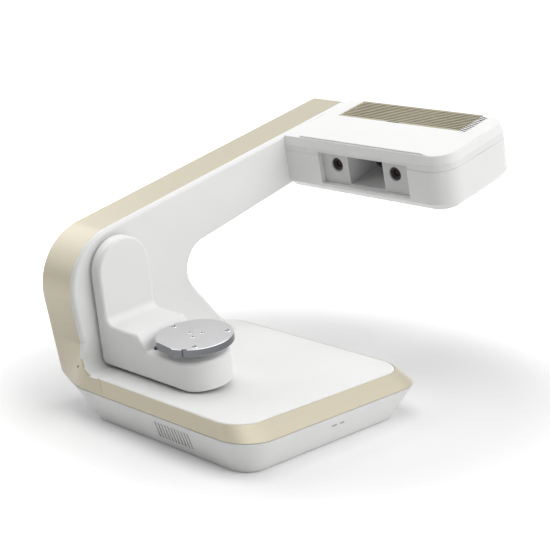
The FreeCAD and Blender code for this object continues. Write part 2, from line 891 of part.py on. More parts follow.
def make_right_shell():
    """White inner side of the slab, its foot, and the base top left of the seam."""
    edge = ribbon_wall + seat_gap
    x1 = slab_thickness
    rim_x = ribbon_width + seat_gap
    plate = slab_solid(cover_low_z, rim_x, x1)
    plate = rounded(plate, slab_edge_radius, outer_face_edge)
    room = slab_solid(cover_low_z, rim_x - over_depth, x1 - shell_wall,
                      walls_of((0, 1, 1, 1, 1, 1, 1, 1), shell_wall))
    plate = plate.cut(room)
    wall = slab_strip(cover_low_z, slab_thickness / 2 + seat_gap, rim_x + seat_gap,
                      walls_of(inner_walls, shell_wall))
    end = slab_solid(cover_low_z, 0, x1, walls_of(outer_walls, edge))
    keep = block(0, x1, -base_depth, 2 * base_width, cover_top_z - shell_wall, 2 * base_width)
    cover = rounded(cover_body(0, cover_top_z), cover_edge_radius, top_rim_edge)
    left = block(0, seam_x, 0, base_depth, 0, cover_top_z + over_depth)
    bosses = [rod(shell_boss_radius, V(frame_x + frame_thickness, y, z),
                  V(x1 - shell_wall + seat_gap, y, z)) for y, z in boss_places()]
    shell = merged(plate, wall.common(keep).common(end), cover.common(left),
                   make_foot_fill(), make_foot_fillet(), *bosses)
    axis_y, axis_z = tilt_y, tilt_z
    bore = rod(tilt_boss_radius + body_gap, V(0, axis_y, axis_z),
               V(x1 + over_depth, axis_y, axis_z))
    port = head_port(x1 - shell_wall - over_depth, x1 + over_depth, 0)
    return shell.cut(bore).cut(port)


def outer_face_edge(edge):
    """True for the slab's outer edges on its right face, above the sweeping foot."""
    box = edge.BoundBox
    on_face = box.XMin > slab_thickness - seat_gap
    middle = edge.valueAt((edge.FirstParameter + edge.LastParameter) / 2)
    n = middle.y * arm_up[0] + middle.z * arm_up[1]
    s = middle.y * arm_along[0] + middle.z * arm_along[1]
    top = n > arm_top_offset - arm_end_top_radius and middle.z > cover_top_z
    leg = middle.y < leg_inset_front and middle.z > cover_top_z
    return on_face and (top or leg or s > arm_end_station - seat_gap)


def make_foot_fill():
    """White part of the sweeping foot, between the ribbon and the base top."""
    rim_x = ribbon_width + seat_gap
    points = [(rim_x, cover_low_z), (seam_x, cover_low_z), (seam_x, cover_top_z),
              (slab_thickness, cover_top_z), (slab_thickness, blend_top_z),
              (rim_x, blend_top_z)]
    radii = [0, 0, 0, foot_fillet_radius, 0, 0]
    depth = leg_front(cover_low_z) + shell_wall
    region = prism(points, radii, on_front(-over_depth), Y_DIR * (depth + over_depth))
    fill = sweep_body(0).common(region)
    return fill.cut(sweep_skin(ribbon_wall + seat_gap, seat_gap))


def make_foot_fillet():
    """Hollow curve where the slab's right face meets the base top."""
    radius = foot_fillet_radius
    x0, z0 = slab_thickness, cover_top_z
    low = shell_wall / 2
    points = [(x0 - low, z0 - low), (x0 + radius, z0 - low), (x0 + radius, z0),
              (x0, z0), (x0, z0 + radius), (x0 - low, z0 + radius)]
    front = leg_front(cover_low_z)
    strip = prism(points, [0, 0, 0, radius, 0, 0], on_front(front),
                  Y_DIR * (leg_foot_y - front))
    return strip.common(slab_solid(cover_low_z, 0, x0 + 2 * radius))


frame_inset = 9.0
frame_flange_width = 26.0
frame_flange_height = 4.0
flange_bolt_shares = (0.15, 0.5, 0.85)


def frame_outline_amounts():
    """How far the frame lies inside each edge of the slab."""
    return (0, frame_inset, frame_inset, frame_inset, frame_inset,
            frame_inset, frame_inset, frame_inset)


def make_frame():
    """Aluminium spine of the slab: side plate, foot flange and bearing barrel."""
    z0 = chassis_z + chassis_thickness
    x1 = frame_x + frame_thickness
    plate = slab_solid(z0, frame_x, x1, frame_outline_amounts())
    y0, y1 = leg_inset_front + 2 * frame_inset, leg_foot_y - 2 * frame_inset
    flange = block(frame_x, frame_x + frame_flange_width, y0, y1, z0, z0 + frame_flange_height)
    axis_y, axis_z = tilt_y, tilt_z
    barrel = rod(bearing_radius + shell_wall, V(frame_x - barrel_length, axis_y, axis_z),
                 V(x1, axis_y, axis_z))
    frame = merged(plate, flange, barrel)
    cuts = [rod(bearing_radius + seat_gap / 2, V(0, axis_y, axis_z),
                V(slab_thickness, axis_y, axis_z))]
    for y, z in boss_places():
        cuts.append(rod(shell_boss_bore_radius, V(0, y, z), V(slab_thickness, y, z)))
    motor_y, motor_z = tilt_motor_y, tilt_motor_z
    cuts.append(rod(motor_pulley_radius + shell_wall, V(0, motor_y, motor_z),
                    V(slab_thickness, motor_y, motor_z)))
    for x, y in flange_bolts():
        cuts.append(rod(post_bore_radius, V(x, y, 0), V(x, y, cover_low_z)))
    return frame.cut(Part.makeCompound(cuts))


def flange_bolts():
    """Centres of the bolts through the frame's foot flange."""
    x = frame_x + frame_flange_width - 2 * post_radius
    y0, y1 = leg_inset_front + 2 * frame_inset, leg_foot_y - 2 * frame_inset
    return [(x, y0 + (y1 - y0) * share) for share in flange_bolt_shares]


def make_flange_bolts():
    """Bolts that hold the frame's flange down on the chassis."""
    z0 = chassis_z + chassis_thickness
    bolts = []
    for x, y in flange_bolts():
        shank = rod(post_bore_radius, V(x, y, z0), V(x, y, z0 + frame_flange_height))
        head = rod(screw_head_radius, V(x, y, z0 + frame_flange_height),
                   V(x, y, z0 + frame_flange_height + screw_head_height))
        bolts.append(merged(shank, head))
    return group(bolts)


# Tilt drive
bearing_radius = 11.0
bearing_width = 5.5
bearing_ring_width = 1.8
barrel_length = 9.5
pulley_rim_width = 1.2
pulley_x = 31.6
tilt_flange_radius = 15.0


def bearing(x0, width, y, z, inner_radius_fit):
    """Ball bearing as two rings and a shielded middle, one solid."""
    ring = tube(bearing_radius, inner_radius_fit, V(x0, y, z), V(x0 + width, y, z))
    groove = tube(bearing_radius - bearing_ring_width, inner_radius_fit + bearing_ring_width,
                  V(x0 - over_depth, y, z), V(x0 + bearing_ring_width / 3, y, z))
    return ring.cut(groove)


def make_tilt_bearings():
    """Two ball bearings in the frame's barrel."""
    y, z = tilt_y, tilt_z
    inner = tilt_shaft_radius + seat_gap / 2
    x0 = frame_x - barrel_length
    x1 = frame_x + frame_thickness - bearing_width
    return group([bearing(x0, bearing_width, y, z, inner),
                  bearing(x1, bearing_width, y, z, inner)])


def make_tilt_shaft():
    """Stepped shaft from the bearings, through the slab, into the swing arm."""
    y, z = tilt_y, tilt_z
    start = V(frame_x - barrel_length - shell_wall / 2, y, z)
    step_x = pulley_x + belt_width + 2 * pulley_rim_width + seat_gap
    flange_x = swing_back_x + shell_wall
    thin = rod(tilt_shaft_radius, start, V(step_x, y, z))
    thick = rod(tilt_boss_radius, V(step_x, y, z), V(flange_x, y, z))
    flange = rod(tilt_flange_radius, V(flange_x, y, z), V(flange_x + shell_wall, y, z))
    return merged(thin, thick, flange)


def pulley(radius, bore, y, z):
    """Flanged pulley on a shaft that runs along X."""
    length = belt_width + 2 * pulley_rim_width
    rim = radius + belt_thickness
    drum = rod(radius, V(pulley_x, y, z), V(pulley_x + length, y, z))
    left = rod(rim, V(pulley_x, y, z), V(pulley_x + pulley_rim_width, y, z))
    right = rod(rim, V(pulley_x + length - pulley_rim_width, y, z), V(pulley_x + length, y, z))
    hole = rod(bore, V(0, y, z), V(slab_thickness, y, z))
    return merged(drum, left, right).cut(hole)


def make_tilt_pulley():
    """Large pulley on the tilt shaft."""
    return pulley(tilt_pulley_radius, tilt_shaft_radius, tilt_y, tilt_z)


motor_shaft_radius = 2.5
motor_depth = 19.0


def make_motor_pulley():
    """Small pulley and shaft of the tilt motor."""
    y, z = tilt_motor_y, tilt_motor_z
    shaft = rod(motor_shaft_radius, V(frame_x, y, z),
                V(pulley_x + belt_width + 2 * pulley_rim_width, y, z))
    return merged(pulley(motor_pulley_radius, motor_shaft_radius / 2, y, z), shaft)


def make_tilt_motor():
    """Flat stepper motor on the frame's left side."""
    y, z = tilt_motor_y, tilt_motor_z
    half = motor_width / 2
    x0 = frame_x - motor_depth
    points = [(y - half, z - half), (y + half, z - half), (y + half, z + half),
              (y - half, z + half)]
    body = prism(points, motor_shaft_radius, on_side(x0), X_DIR * motor_depth)
    collar = rod(motor_pulley_radius, V(frame_x - seat_gap, y, z),
                 V(frame_x + frame_thickness - seat_gap, y, z))
    bore = rod(motor_shaft_radius + body_gap, V(frame_x - body_gap, y, z),
               V(slab_thickness, y, z))
    return merged(body, collar).cut(bore)


def belt_loop(gap):
    """Belt round both pulleys, clear of them by a gap."""
    y0, z0 = tilt_y, tilt_z
    y1, z1 = tilt_motor_y, tilt_motor_z
    span = math.dist((y0, z0), (y1, z1))
    big, small = tilt_pulley_radius + gap, motor_pulley_radius + gap
    along = math.atan2(z1 - z0, y1 - y0)
    swing = math.acos((big - small) / span)
    thick = belt_thickness - gap - seat_gap

    def loop(extra):
        """Closed wire round the two circles, each larger by extra."""
        r0, r1 = big + extra, small + extra

        def at(y, z, radius, angle):
            return V(pulley_x + pulley_rim_width + gap, y + radius * math.cos(angle),
                     z + radius * math.sin(angle))
        a, b = at(y0, z0, r0, along + swing), at(y0, z0, r0, along - swing)
        c, d = at(y1, z1, r1, along - swing), at(y1, z1, r1, along + swing)
        far0 = at(y0, z0, r0, along + math.pi)
        far1 = at(y1, z1, r1, along)
        return Part.Wire([Part.Arc(a, far0, b).toShape(), Part.LineSegment(b, c).toShape(),
                          Part.Arc(c, far1, d).toShape(), Part.LineSegment(d, a).toShape()])

    length = belt_width - 2 * gap
    outer = Part.Face(loop(thick)).extrude(X_DIR * length)
    return outer.cut(Part.Face(loop(0)).extrude(X_DIR * length))


def make_belt():
    """Drive belt between the two pulleys."""
    return belt_loop(body_gap)


# Swing arm, drawn level in X, V and W
def tilted(shape):
    """Level swing arm shape turned to its tilt about the X axis."""
    copy = shape.copy()
    copy.rotate(V(0, 0, 0), X_DIR, swing_tilt)
    return copy


def swing_profile(moved):
    """Front view of the swing arm as X and W: plate, shoulder and platform."""
    end = scan_centre_x + swing_half + over_depth
    points = [(swing_back_x, swing_bottom_w), (end, swing_bottom_w), (end, platform_top_w),
              (shoulder_end_x + shoulder_slope_width, platform_top_w),
              (shoulder_end_x, shoulder_top_w), (swing_face_x, shoulder_top_w),
              (swing_face_x, swing_axis_w + swing_half + over_depth),
              (swing_back_x, swing_axis_w + swing_half + over_depth)]
    radii = [swing_corner_radius, 0, 0, swing_edge_radius, swing_edge_radius,
             swing_root_radius, 0, 0]
    if moved:
        radii = [max(radii[0] - moved, 0), 0, 0, radii[3] + moved, max(radii[4] - moved, 0),
                 radii[5] + moved, 0, 0]
        points = inset(points, moved)
    return points, radii


def swing_body(moved):
    """Solid swing arm, its walls moved in by an amount."""
    points, radii = swing_profile(moved)
    low_v = swing_centre_v - swing_half + moved
    profile = prism(points, radii, on_front(low_v), Y_DIR * (swing_width - 2 * moved))
    half = swing_half - moved
    start_x = swing_back_x - over_depth
    plan = merged(block(start_x, scan_centre_x, swing_centre_v - half, swing_centre_v + half,
                        0, swing_axis_w + swing_width),
                  rod(half, V(scan_centre_x, swing_centre_v, 0),
                      V(scan_centre_x, swing_centre_v, swing_axis_w + swing_width)))
    far = scan_centre_x + swing_width
    low_w, top_w = swing_bottom_w + moved, swing_axis_w + half
    low = max(swing_low_radius - moved, 0)
    round_top = half * round_share
    side = prism([(swing_centre_v - half, low_w), (swing_centre_v + half, low_w),
                  (swing_centre_v + half, top_w), (swing_centre_v - half, top_w)],
                 [low, low, round_top, round_top], on_side(start_x), X_DIR * (far - start_x))
    return profile.common(plan).common(side)


recess_gap = 2.55
recess_flare_width = 5.0
recess_radius = disc_radius + recess_gap


def turntable_recess():
    """Shallow cone round the disc, cut into the shoulder."""
    depth = shoulder_top_w - platform_top_w
    return Part.makeCone(recess_radius, recess_radius + recess_flare_width, depth + over_depth,
                         V(scan_centre_x, swing_centre_v, platform_top_w), Z_DIR)


def swing_edge(edge):
    """True for the swing arm's outer edges that are rounded."""
    box = edge.BoundBox
    if box.ZMax < swing_bottom_w + seat_gap:
        return False
    upright_plane = box.XLength < seat_gap
    level_plane = box.ZLength < seat_gap
    face = upright_plane and abs(box.XMin - swing_face_x) < seat_gap
    rim = level_plane and abs(box.ZMin - platform_top_w) < seat_gap
    outside = abs(box.YMin - swing_centre_v + swing_half) < seat_gap
    outside = outside or abs(box.YMax - swing_centre_v - swing_half) < seat_gap
    return (face and box.ZMin > shoulder_top_w) or (rim and outside)


def make_swing_shell():
    """White L-shaped arm, hollow and open below."""
    body = swing_body(0).cut(turntable_recess())
    body = rounded(body, swing_edge_radius, swing_edge)
    hollow = swing_body(shell_wall)
    base = cover_opening(0, swing_bottom_w - over_depth, swing_bottom_w + 2 * shell_wall)
    keep_below = Part.makeCone(recess_radius + shell_wall, recess_radius + recess_flare_width + shell_wall,
                               shoulder_top_w - platform_top_w + over_depth,
                               V(scan_centre_x, swing_centre_v, platform_top_w - shell_wall), Z_DIR)
    hollow = hollow.cut(keep_below)
    body = body.cut(hollow).cut(base)
    housing = rod(turn_bearing_radius + shell_wall,
                  V(scan_centre_x, swing_centre_v, platform_top_w - turn_bearing_width),
                  V(scan_centre_x, swing_centre_v, platform_top_w - seat_gap))
    body = merged(body, housing)
    bore = rod(turn_bearing_radius + seat_gap / 2,
               V(scan_centre_x, swing_centre_v, 0),
               V(scan_centre_x, swing_centre_v, platform_top_w - shell_wall / 2))
    hole = rod(spindle_radius + body_gap, V(scan_centre_x, swing_centre_v, 0),
               V(scan_centre_x, swing_centre_v, disc_top_w))
    shaft_hole = rod(tilt_boss_radius, V(0, swing_centre_v, swing_axis_w),
                     V(swing_back_x + shell_wall + seat_gap, swing_centre_v, swing_axis_w))
    pin_hole = rod(index_pin_radius, index_pin_place(0), index_pin_place(disc_top_w))
    body = body.cut(bore).cut(hole).cut(shaft_hole).cut(pin_hole)
    return tilted(body)


turn_bearing_radius = 14.0
turn_bearing_width = 7.0
index_pin_radius = 1.8
index_pin_height = 2.5
index_pin_distance = 37.0
index_pin_angle = -149.5


def index_pin_place(w):
    """Centre of the index pin at height w on the platform."""
    angle = math.radians(index_pin_angle)
    return V(scan_centre_x + index_pin_distance * math.cos(angle),
             swing_centre_v + index_pin_distance * math.sin(angle), w)


def make_index_pin():
    """Small dark pin beside the disc."""
    pin = rod(index_pin_radius, index_pin_place(platform_top_w - shell_wall),
              index_pin_place(platform_top_w + index_pin_height))
    return tilted(pin)


def cover_opening(gap, w0, w1):
    """Long opening under the swing arm, drawn in by a gap, between two heights."""
    half = swing_half - swing_low_radius - gap
    x0 = swing_back_x + swing_corner_radius + gap
    return merged(block(x0, scan_centre_x, swing_centre_v - half, swing_centre_v + half, w0, w1),
                  rod(half, V(scan_centre_x, swing_centre_v, w0),
                      V(scan_centre_x, swing_centre_v, w1)))


def make_swing_cover():
    """Flat cover that closes the swing arm from below."""
    w0 = swing_bottom_w + seat_gap
    return tilted(cover_opening(seat_gap, w0, w0 + swing_cover_thickness))


def make_turn_bearing():
    """Ball bearing of the turntable, in the platform's housing."""
    top = platform_top_w - shell_wall / 2
    centre = V(scan_centre_x, swing_centre_v, top - turn_bearing_width + shell_wall / 2)
    ring = tube(turn_bearing_radius, spindle_radius + seat_gap / 2, centre,
                V(scan_centre_x, swing_centre_v, top))
    return tilted(ring)


turn_motor_radius = 20.0
turn_motor_top_gap = 3.2
turn_motor_flange_thickness = 1.5
turn_motor_top_w = platform_top_w - turn_bearing_width - turn_motor_top_gap


def make_turn_motor():
    """Flat round motor on the swing arm's bottom cover."""
    low = V(scan_centre_x, swing_centre_v, swing_bottom_w + seat_gap + swing_cover_thickness)
    high = V(scan_centre_x, swing_centre_v, turn_motor_top_w)
    can = rod(turn_motor_radius, low, high)
    ears = block(scan_centre_x - turn_motor_radius - over_depth / 2,
                 scan_centre_x + turn_motor_radius + over_depth / 2,
                 swing_centre_v - over_depth, swing_centre_v + over_depth, low.z,
                 low.z + turn_motor_flange_thickness)
    bore = rod(spindle_radius / 2 + body_gap, V(scan_centre_x, swing_centre_v, low.z + over_depth),
               V(scan_centre_x, swing_centre_v, disc_top_w))
    return tilted(merged(can, ears).cut(bore))


# Turntable
hub_radius = 15.0
hub_thickness = 3.0
disc_screw_radius = 1.5
disc_head_radius = 2.4
pin_radius = 2.5
pin_depth = 3.5


def at_disc(circle, angle, w):
    """Point on the disc at a radius and an angle from +X."""
    turn = math.radians(angle)
    return V(scan_centre_x + circle * math.cos(turn), swing_centre_v + circle * math.sin(turn), w)


def make_spindle():
    """Spindle with the hub that carries the disc."""
    foot = at_disc(0, 0, swing_bottom_w + seat_gap + swing_cover_thickness + over_depth + body_gap)
    collar = at_disc(0, 0, turn_motor_top_w + body_gap)
    thin = rod(spindle_radius / 2, foot, collar)
    thick = rod(spindle_radius, collar, at_disc(0, 0, disc_low_w))
    hub = rod(hub_radius, at_disc(0, 0, disc_low_w - hub_thickness), at_disc(0, 0, disc_low_w))
    shape = merged(thin, thick, hub)
    for angle in disc_screw_angles:
        shape = shape.cut(rod(disc_screw_radius, at_disc(disc_screw_circle_radius, angle, 0),
                              at_disc(disc_screw_circle_radius, angle, disc_top_w)))
    return tilted(shape)


def make_disc():
    """Steel turntable disc with a facet, a rim notch and countersunk holes."""
    disc = rod(disc_radius, at_disc(0, 0, disc_low_w), at_disc(0, 0, disc_top_w))
    disc = disc.makeChamfer(disc_bevel_width, [e for e in disc.Edges if len(e.Vertexes) == 1])
    first = at_disc(disc_radius, disc_facet_angles[0], 0)
    last = at_disc(disc_radius, disc_facet_angles[1], 0)
    middle = sum(disc_facet_angles) / 2
    along = (last - first).normalize() * disc_radius
    out = at_disc(disc_radius, middle, 0) - at_disc(0, 0, 0)
    corners = [first - along, last + along, last + along + out, first - along + out]
    facet = prism([(p.x, p.y) for p in corners], 0, on_plan(0), Z_DIR * (2 * disc_top_w))
    notch = block(disc_radius - disc_notch_depth, disc_radius + over_depth,
                  -disc_notch_width / 2, disc_notch_width / 2, 0, 2 * disc_top_w)
    notch.rotate(V(0, 0, 0), Z_DIR, disc_notch_angle)
    notch.translate(at_disc(0, 0, 0))
    cuts = [facet, notch]
    for angle in disc_screw_angles:
        cuts.append(rod(disc_screw_radius, at_disc(disc_screw_circle_radius, angle, 0),
                        at_disc(disc_screw_circle_radius, angle, 2 * disc_top_w)))
        head_low = disc_top_w - disc_screw_radius
        cuts.append(rod(disc_head_radius, at_disc(disc_screw_circle_radius, angle, head_low),
                        at_disc(disc_screw_circle_radius, angle, 2 * disc_top_w)))
    for angle in disc_pin_angles:
        cuts.append(rod(pin_radius, at_disc(disc_pin_circle_radius, angle, disc_top_w - pin_depth),
                        at_disc(disc_pin_circle_radius, angle, 2 * disc_top_w)))
    return tilted(disc.cut(Part.makeCompound(cuts)))


def make_disc_screws():
    """Three screws that hold the disc on its hub."""
    socket = disc_screw_radius / 2
    screws = []
    for angle in disc_screw_angles:
        head_low = disc_top_w - disc_screw_radius
        head = rod(disc_head_radius - seat_gap, at_disc(disc_screw_circle_radius, angle, head_low),
                   at_disc(disc_screw_circle_radius, angle, disc_top_w - seat_gap))
        shank = rod(disc_screw_radius, at_disc(disc_screw_circle_radius, angle, disc_low_w - hub_thickness),
                    at_disc(disc_screw_circle_radius, angle, head_low + socket))
        drive = rod(socket, at_disc(disc_screw_circle_radius, angle, disc_top_w - socket),
                    at_disc(disc_screw_circle_radius, angle, 2 * disc_top_w))
        screws.append(merged(head, shank).cut(drive))
    return tilted(group(screws))


def make_rim_pins():
    """Three latch studs near the disc's rim, sunk flush with its face."""
    pins = []
    for angle in disc_pin_angles:
        body = rod(pin_radius - seat_gap, at_disc(disc_pin_circle_radius, angle, disc_top_w - pin_depth),
                   at_disc(disc_pin_circle_radius, angle, disc_top_w))
        slot = rod(pin_radius / 2, at_disc(disc_pin_circle_radius, angle, disc_top_w - pin_depth / 3),
                   at_disc(disc_pin_circle_radius, angle, 2 * disc_top_w))
        pins.append(body.cut(slot))
    return tilted(group(pins))


# Camera head, drawn in X, S and N and turned to the arm's slope
def in_arm(shape):
    """Shape drawn along the arm, turned to its slope."""
    copy = shape.copy()
    copy.rotate(V(0, 0, 0), X_DIR, arm_rise)
    return copy


def head_points(amounts):
    """Corners of the head seen from above, moved in by front, right, back amounts."""
    points = [(head_left_x, head_front_s), (head_right_x, head_front_s),
              (head_right_x, head_back_s), (head_left_x, head_back_s)]
    return inset(points, amounts)


def head_wire(moved, n, left=0):
    """Head outline at height n, moved in on its three free sides."""
    radii = [0, max(head_front_radius - moved, 0), max(head_back_radius - moved, 0), 0]
    return outline(head_points([moved, moved, moved, left]), radii, on_plan(n))


def head_prism(moved, n0, n1, left=0):
    """Straight slice of the head between two heights."""
    return Part.Face(head_wire(moved, n0, left)).extrude(Z_DIR * (n1 - n0))


def head_room(wall):
    """Space inside the head's walls, from its floor to past the parting line."""
    full = head_bottom_n + head_chamfer_width
    low = loft([head_wire(head_chamfer_width + wall, head_bottom_n + wall, wall),
                head_wire(wall, full + wall, wall)])
    return merged(low, head_prism(wall, full + wall, head_split_n + over_depth, wall))


def head_window(grow, s1):
    """Window opening in the head's front, as deep as s1."""
    return block(window_left_x - grow, window_right_x + grow, head_front_s - over_depth, s1,
                 window_bottom_n - grow, window_top_n + grow)


bench_s = 374.0
bench_thickness = 4.0


def make_head_lower():
    """Lower shell of the head, with its chamfered underside and the window."""
    full = head_bottom_n + head_chamfer_width
    skirt = loft([head_wire(head_chamfer_width, head_bottom_n), head_wire(0, full)])
    body = merged(skirt, head_prism(0, full, head_split_n))
    body = body.cut(head_room(shell_wall))
    body = in_arm(body.cut(head_window(0, window_plate_s)))
    return body.cut(head_port(head_left_x - over_depth, head_left_x + shell_wall + over_depth, 0))


def make_head_cover():
    """Top shell of the head, with a lip, a bevelled band and a raised field."""
    lip = head_prism(head_lip_inset, head_split_n + seat_gap, head_lip_n + seat_gap)
    band = loft([head_wire(0, head_lip_n), head_wire(head_top_inset, head_top_n)])
    ramp_end = plateau_right_x + plateau_ramp_width
    top = head_top_n + plateau_height
    field = prism([(plateau_left_x, head_top_n - seat_gap), (ramp_end, head_top_n - seat_gap),
                   (plateau_right_x, top), (plateau_left_x, top)], 0,
                  on_front(head_front_s + plateau_front_gap),
                  Y_DIR * (head_depth - 2 * plateau_front_gap))
    body = merged(lip, band, field)
    room = head_prism(shell_wall + seat_gap, head_split_n - over_depth, head_top_n - shell_wall,
                      shell_wall)
    bed = block(plateau_left_x - seat_gap, ramp_end + over_depth, grille_start_s - seat_gap,
                grille_start_s + slat_bed + seat_gap, head_top_n, top + over_depth)
    hole = block(plateau_left_x + shell_wall, ramp_end - shell_wall, grille_start_s + grille_slat_width,
                 grille_start_s + slat_bed - grille_slat_width, head_top_n - over_depth - shell_wall,
                 top + over_depth)
    body = body.cut(room).cut(bed).cut(hole).cut(head_window(0, window_plate_s))
    return in_arm(body).cut(head_port(head_left_x - over_depth, head_left_x + shell_wall + over_depth, 0))


grille_bar_depth = 2.0


def make_grille():
    """Champagne slats over the head's air outlet, joined by cross bars below."""
    ramp_end = plateau_right_x + plateau_ramp_width
    top = head_top_n + plateau_height
    drop = plateau_height * seat_gap
    profile = [(plateau_left_x + seat_gap, head_top_n), (ramp_end - plateau_ramp_width / 6, head_top_n),
               (ramp_end - plateau_ramp_width / 6, head_top_n + 2 * drop),
               (plateau_right_x, top), (plateau_left_x + seat_gap, top)]
    parts = []
    for i in range(grille_slats):
        s = grille_start_s + (i + 0.5) * grille_pitch - grille_slat_width / 2
        parts.append(prism(profile, 0, on_front(s), Y_DIR * grille_slat_width))
    edge = grille_slat_width / 2
    for s in (grille_start_s, grille_start_s + slat_bed - edge):
        parts.append(prism(profile, 0, on_front(s), Y_DIR * edge))
    bar_x0, bar_x1 = plateau_left_x + shell_wall, ramp_end - shell_wall
    bars = 4
    for i in range(bars):
        x = bar_x0 + seat_gap + (bar_x1 - bar_x0 - 2 * seat_gap - grille_slat_width) * i / (bars - 1)
        parts.append(block(x, x + grille_slat_width, grille_start_s + grille_slat_width + seat_gap,
                           grille_start_s + slat_bed - grille_slat_width - seat_gap,
                           head_top_n - grille_bar_depth, head_top_n + drop))
    rails = (plateau_left_x + seat_gap, ramp_end - plateau_ramp_width - shell_wall)
    for x in rails:
        parts.append(block(x, x + shell_wall / 2, grille_start_s,
                           grille_start_s + slat_bed, head_top_n, head_top_n + drop))
    return in_arm(merged(*parts))


bezel_rim_width = 2.5
bezel_depth = 6.4
plate_thickness = 2.0


def make_bezel():
    """Frame behind the window that seats the two camera plates."""
    s0 = head_front_s + shell_wall + seat_gap
    ring = block(window_left_x - bezel_rim_width, window_right_x + bezel_rim_width, s0, s0 + bezel_depth,
                 window_bottom_n - bezel_rim_width, window_top_n + bezel_rim_width)
    ring = ring.common(head_room(shell_wall + seat_gap))
    return in_arm(ring.cut(head_window(0, s0 + 2 * bezel_depth)))


def make_camera_plate(side):
    """Plate round one camera, to the left (-1) or the right (+1) of the bay."""
    inner_x = scan_centre_x + side * bay_half_width
    outer_x = scan_centre_x + side * (window_half_width - seat_gap)
    plate = block(min(inner_x, outer_x), max(inner_x, outer_x), window_plate_s,
                  window_plate_s + plate_thickness, window_bottom_n + seat_gap,
                  window_top_n - seat_gap)
    x = scan_centre_x + side * camera_offset
    hole = rod(camera_barrel_radius + seat_gap, V(x, head_front_s, camera_n),
               V(x, head_back_s, camera_n))
    sink = Part.makeCone(camera_barrel_radius + camera_sink_width, camera_barrel_radius,
                         plate_thickness, V(x, window_plate_s - seat_gap, camera_n), Y_DIR)
    return in_arm(plate.cut(hole).cut(sink))


camera_half_width = 14.0
lens_thickness = 2.0
barrel_wall = 1.2


def make_camera(side):
    """Camera module: square body on the bench and a hollow lens barrel."""
    x = scan_centre_x + side * camera_offset
    face_s = window_plate_s + plate_thickness / 2
    body_s = window_plate_s + plate_thickness + bezel_rim_width
    half = camera_half_width
    body = block(x - half / 2, x + half, body_s, bench_s, camera_n - half, camera_n + half)
    if side < 0:
        body = block(x - half, x + half / 2, body_s, bench_s, camera_n - half, camera_n + half)
    barrel = rod(camera_barrel_radius, V(x, face_s, camera_n), V(x, body_s + seat_gap, camera_n))
    well = rod(camera_barrel_radius - barrel_wall, V(x, head_front_s, camera_n),
               V(x, body_s - seat_gap, camera_n))
    return in_arm(merged(body, barrel).cut(well))


def make_lens(side):
    """Domed glass inside one camera barrel."""
    x = scan_centre_x + side * camera_offset
    back = window_plate_s + plate_thickness + bezel_rim_width - seat_gap
    radius = camera_barrel_radius - barrel_wall - seat_gap / 2
    disc = rod(radius, V(x, back - lens_thickness, camera_n), V(x, back, camera_n))
    sphere_radius = 2 * radius
    ball = Part.makeSphere(sphere_radius, V(x, back - lens_thickness + sphere_radius - lens_thickness / 2,
                                            camera_n))
    reach = rod(radius, V(x, back - 2 * lens_thickness, camera_n), V(x, back, camera_n))
    return in_arm(merged(disc, ball.common(reach)))


bay_wall = 1.4
bay_floor_height = 3.0
bay_side_inset = 2.0


def make_bay():
    """Funnel between the camera plates that leads to the projector's lens."""
    s0 = window_plate_s + seat_gap
    s1 = s0 + bay_depth
    left, right = scan_centre_x - bay_half_width + seat_gap, scan_centre_x + bay_half_width - seat_gap
    low, high = window_bottom_n + seat_gap, window_top_n - seat_gap

    def frame(s, grow, share):
        """Rectangle across the funnel at station s."""
        narrow = bay_side_inset * share
        x0, x1 = left + narrow - grow, right - narrow + grow
        n0, n1 = low + bay_floor_height * share - grow, high + grow
        corners = [(x0, n0), (x1, n0), (x1, n1), (x0, n1)]
        return outline(corners, [0 for corner in corners], on_front(s))

    outer = loft([frame(s0, 0, 0), frame(s1, 0, 1)])
    step = bay_wall
    inner = loft([frame(s0 - over_depth, -step, 0), frame(s1 - step, -step, 1)])
    eye = rod(projector_barrel_radius + seat_gap, V(scan_centre_x, s0, projector_n),
              V(scan_centre_x, head_back_s, projector_n))
    return in_arm(outer.cut(inner).cut(eye))


projector_half_width = 26.0
projector_half_height = 15.0
projector_length = 30.0


def make_projector():
    """Projector body behind the bench, with its barrel through it."""
    half_x, half_n = projector_half_width, projector_half_height
    s0 = bench_s + bench_thickness
    body = block(scan_centre_x - half_x, scan_centre_x + half_x, s0, s0 + projector_length,
                 projector_n - half_n, projector_n + half_n)
    nose = window_plate_s + projector_nose_depth
    barrel = tube(projector_barrel_radius, projector_barrel_radius - 2 * barrel_wall,
                  V(scan_centre_x, nose, projector_n), V(scan_centre_x, s0 + seat_gap, projector_n))
    return in_arm(merged(body, barrel))


def make_projector_lens():
    """Glass in the projector's barrel."""
    radius = projector_barrel_radius - 2 * barrel_wall - seat_gap / 2
    start = V(scan_centre_x, window_plate_s + projector_nose_depth + lens_thickness, projector_n)
    return in_arm(rod(radius, start, start + Y_DIR * lens_thickness))


def make_bench():
    """Aluminium plate across the head that carries the optics, bolted to the frame."""
    x0 = frame_x + frame_thickness
    x1 = head_right_x - 2 * shell_wall - head_back_radius / 2
    low, high = head_bottom_n + head_chamfer_width + shell_wall, head_top_n - 2 * shell_wall
    tongue_low, tongue_high = port_low_n + shell_wall, port_high_n - shell_wall
    plate = block(head_left_x + 2 * shell_wall, x1, bench_s, bench_s + bench_thickness, low, high)
    tongue = block(x0, head_left_x + 3 * shell_wall, bench_s, bench_s + bench_thickness,
                   tongue_low, tongue_high)
    foot = block(x0, x0 + bench_thickness, bench_s - port_half_depth + shell_wall,
                 bench_s + bench_thickness, tongue_low, tongue_high)
    eye = rod(projector_barrel_radius + seat_gap, V(scan_centre_x, head_front_s, projector_n),
              V(scan_centre_x, head_back_s, projector_n))
    return in_arm(merged(plate, tongue, foot).cut(eye))


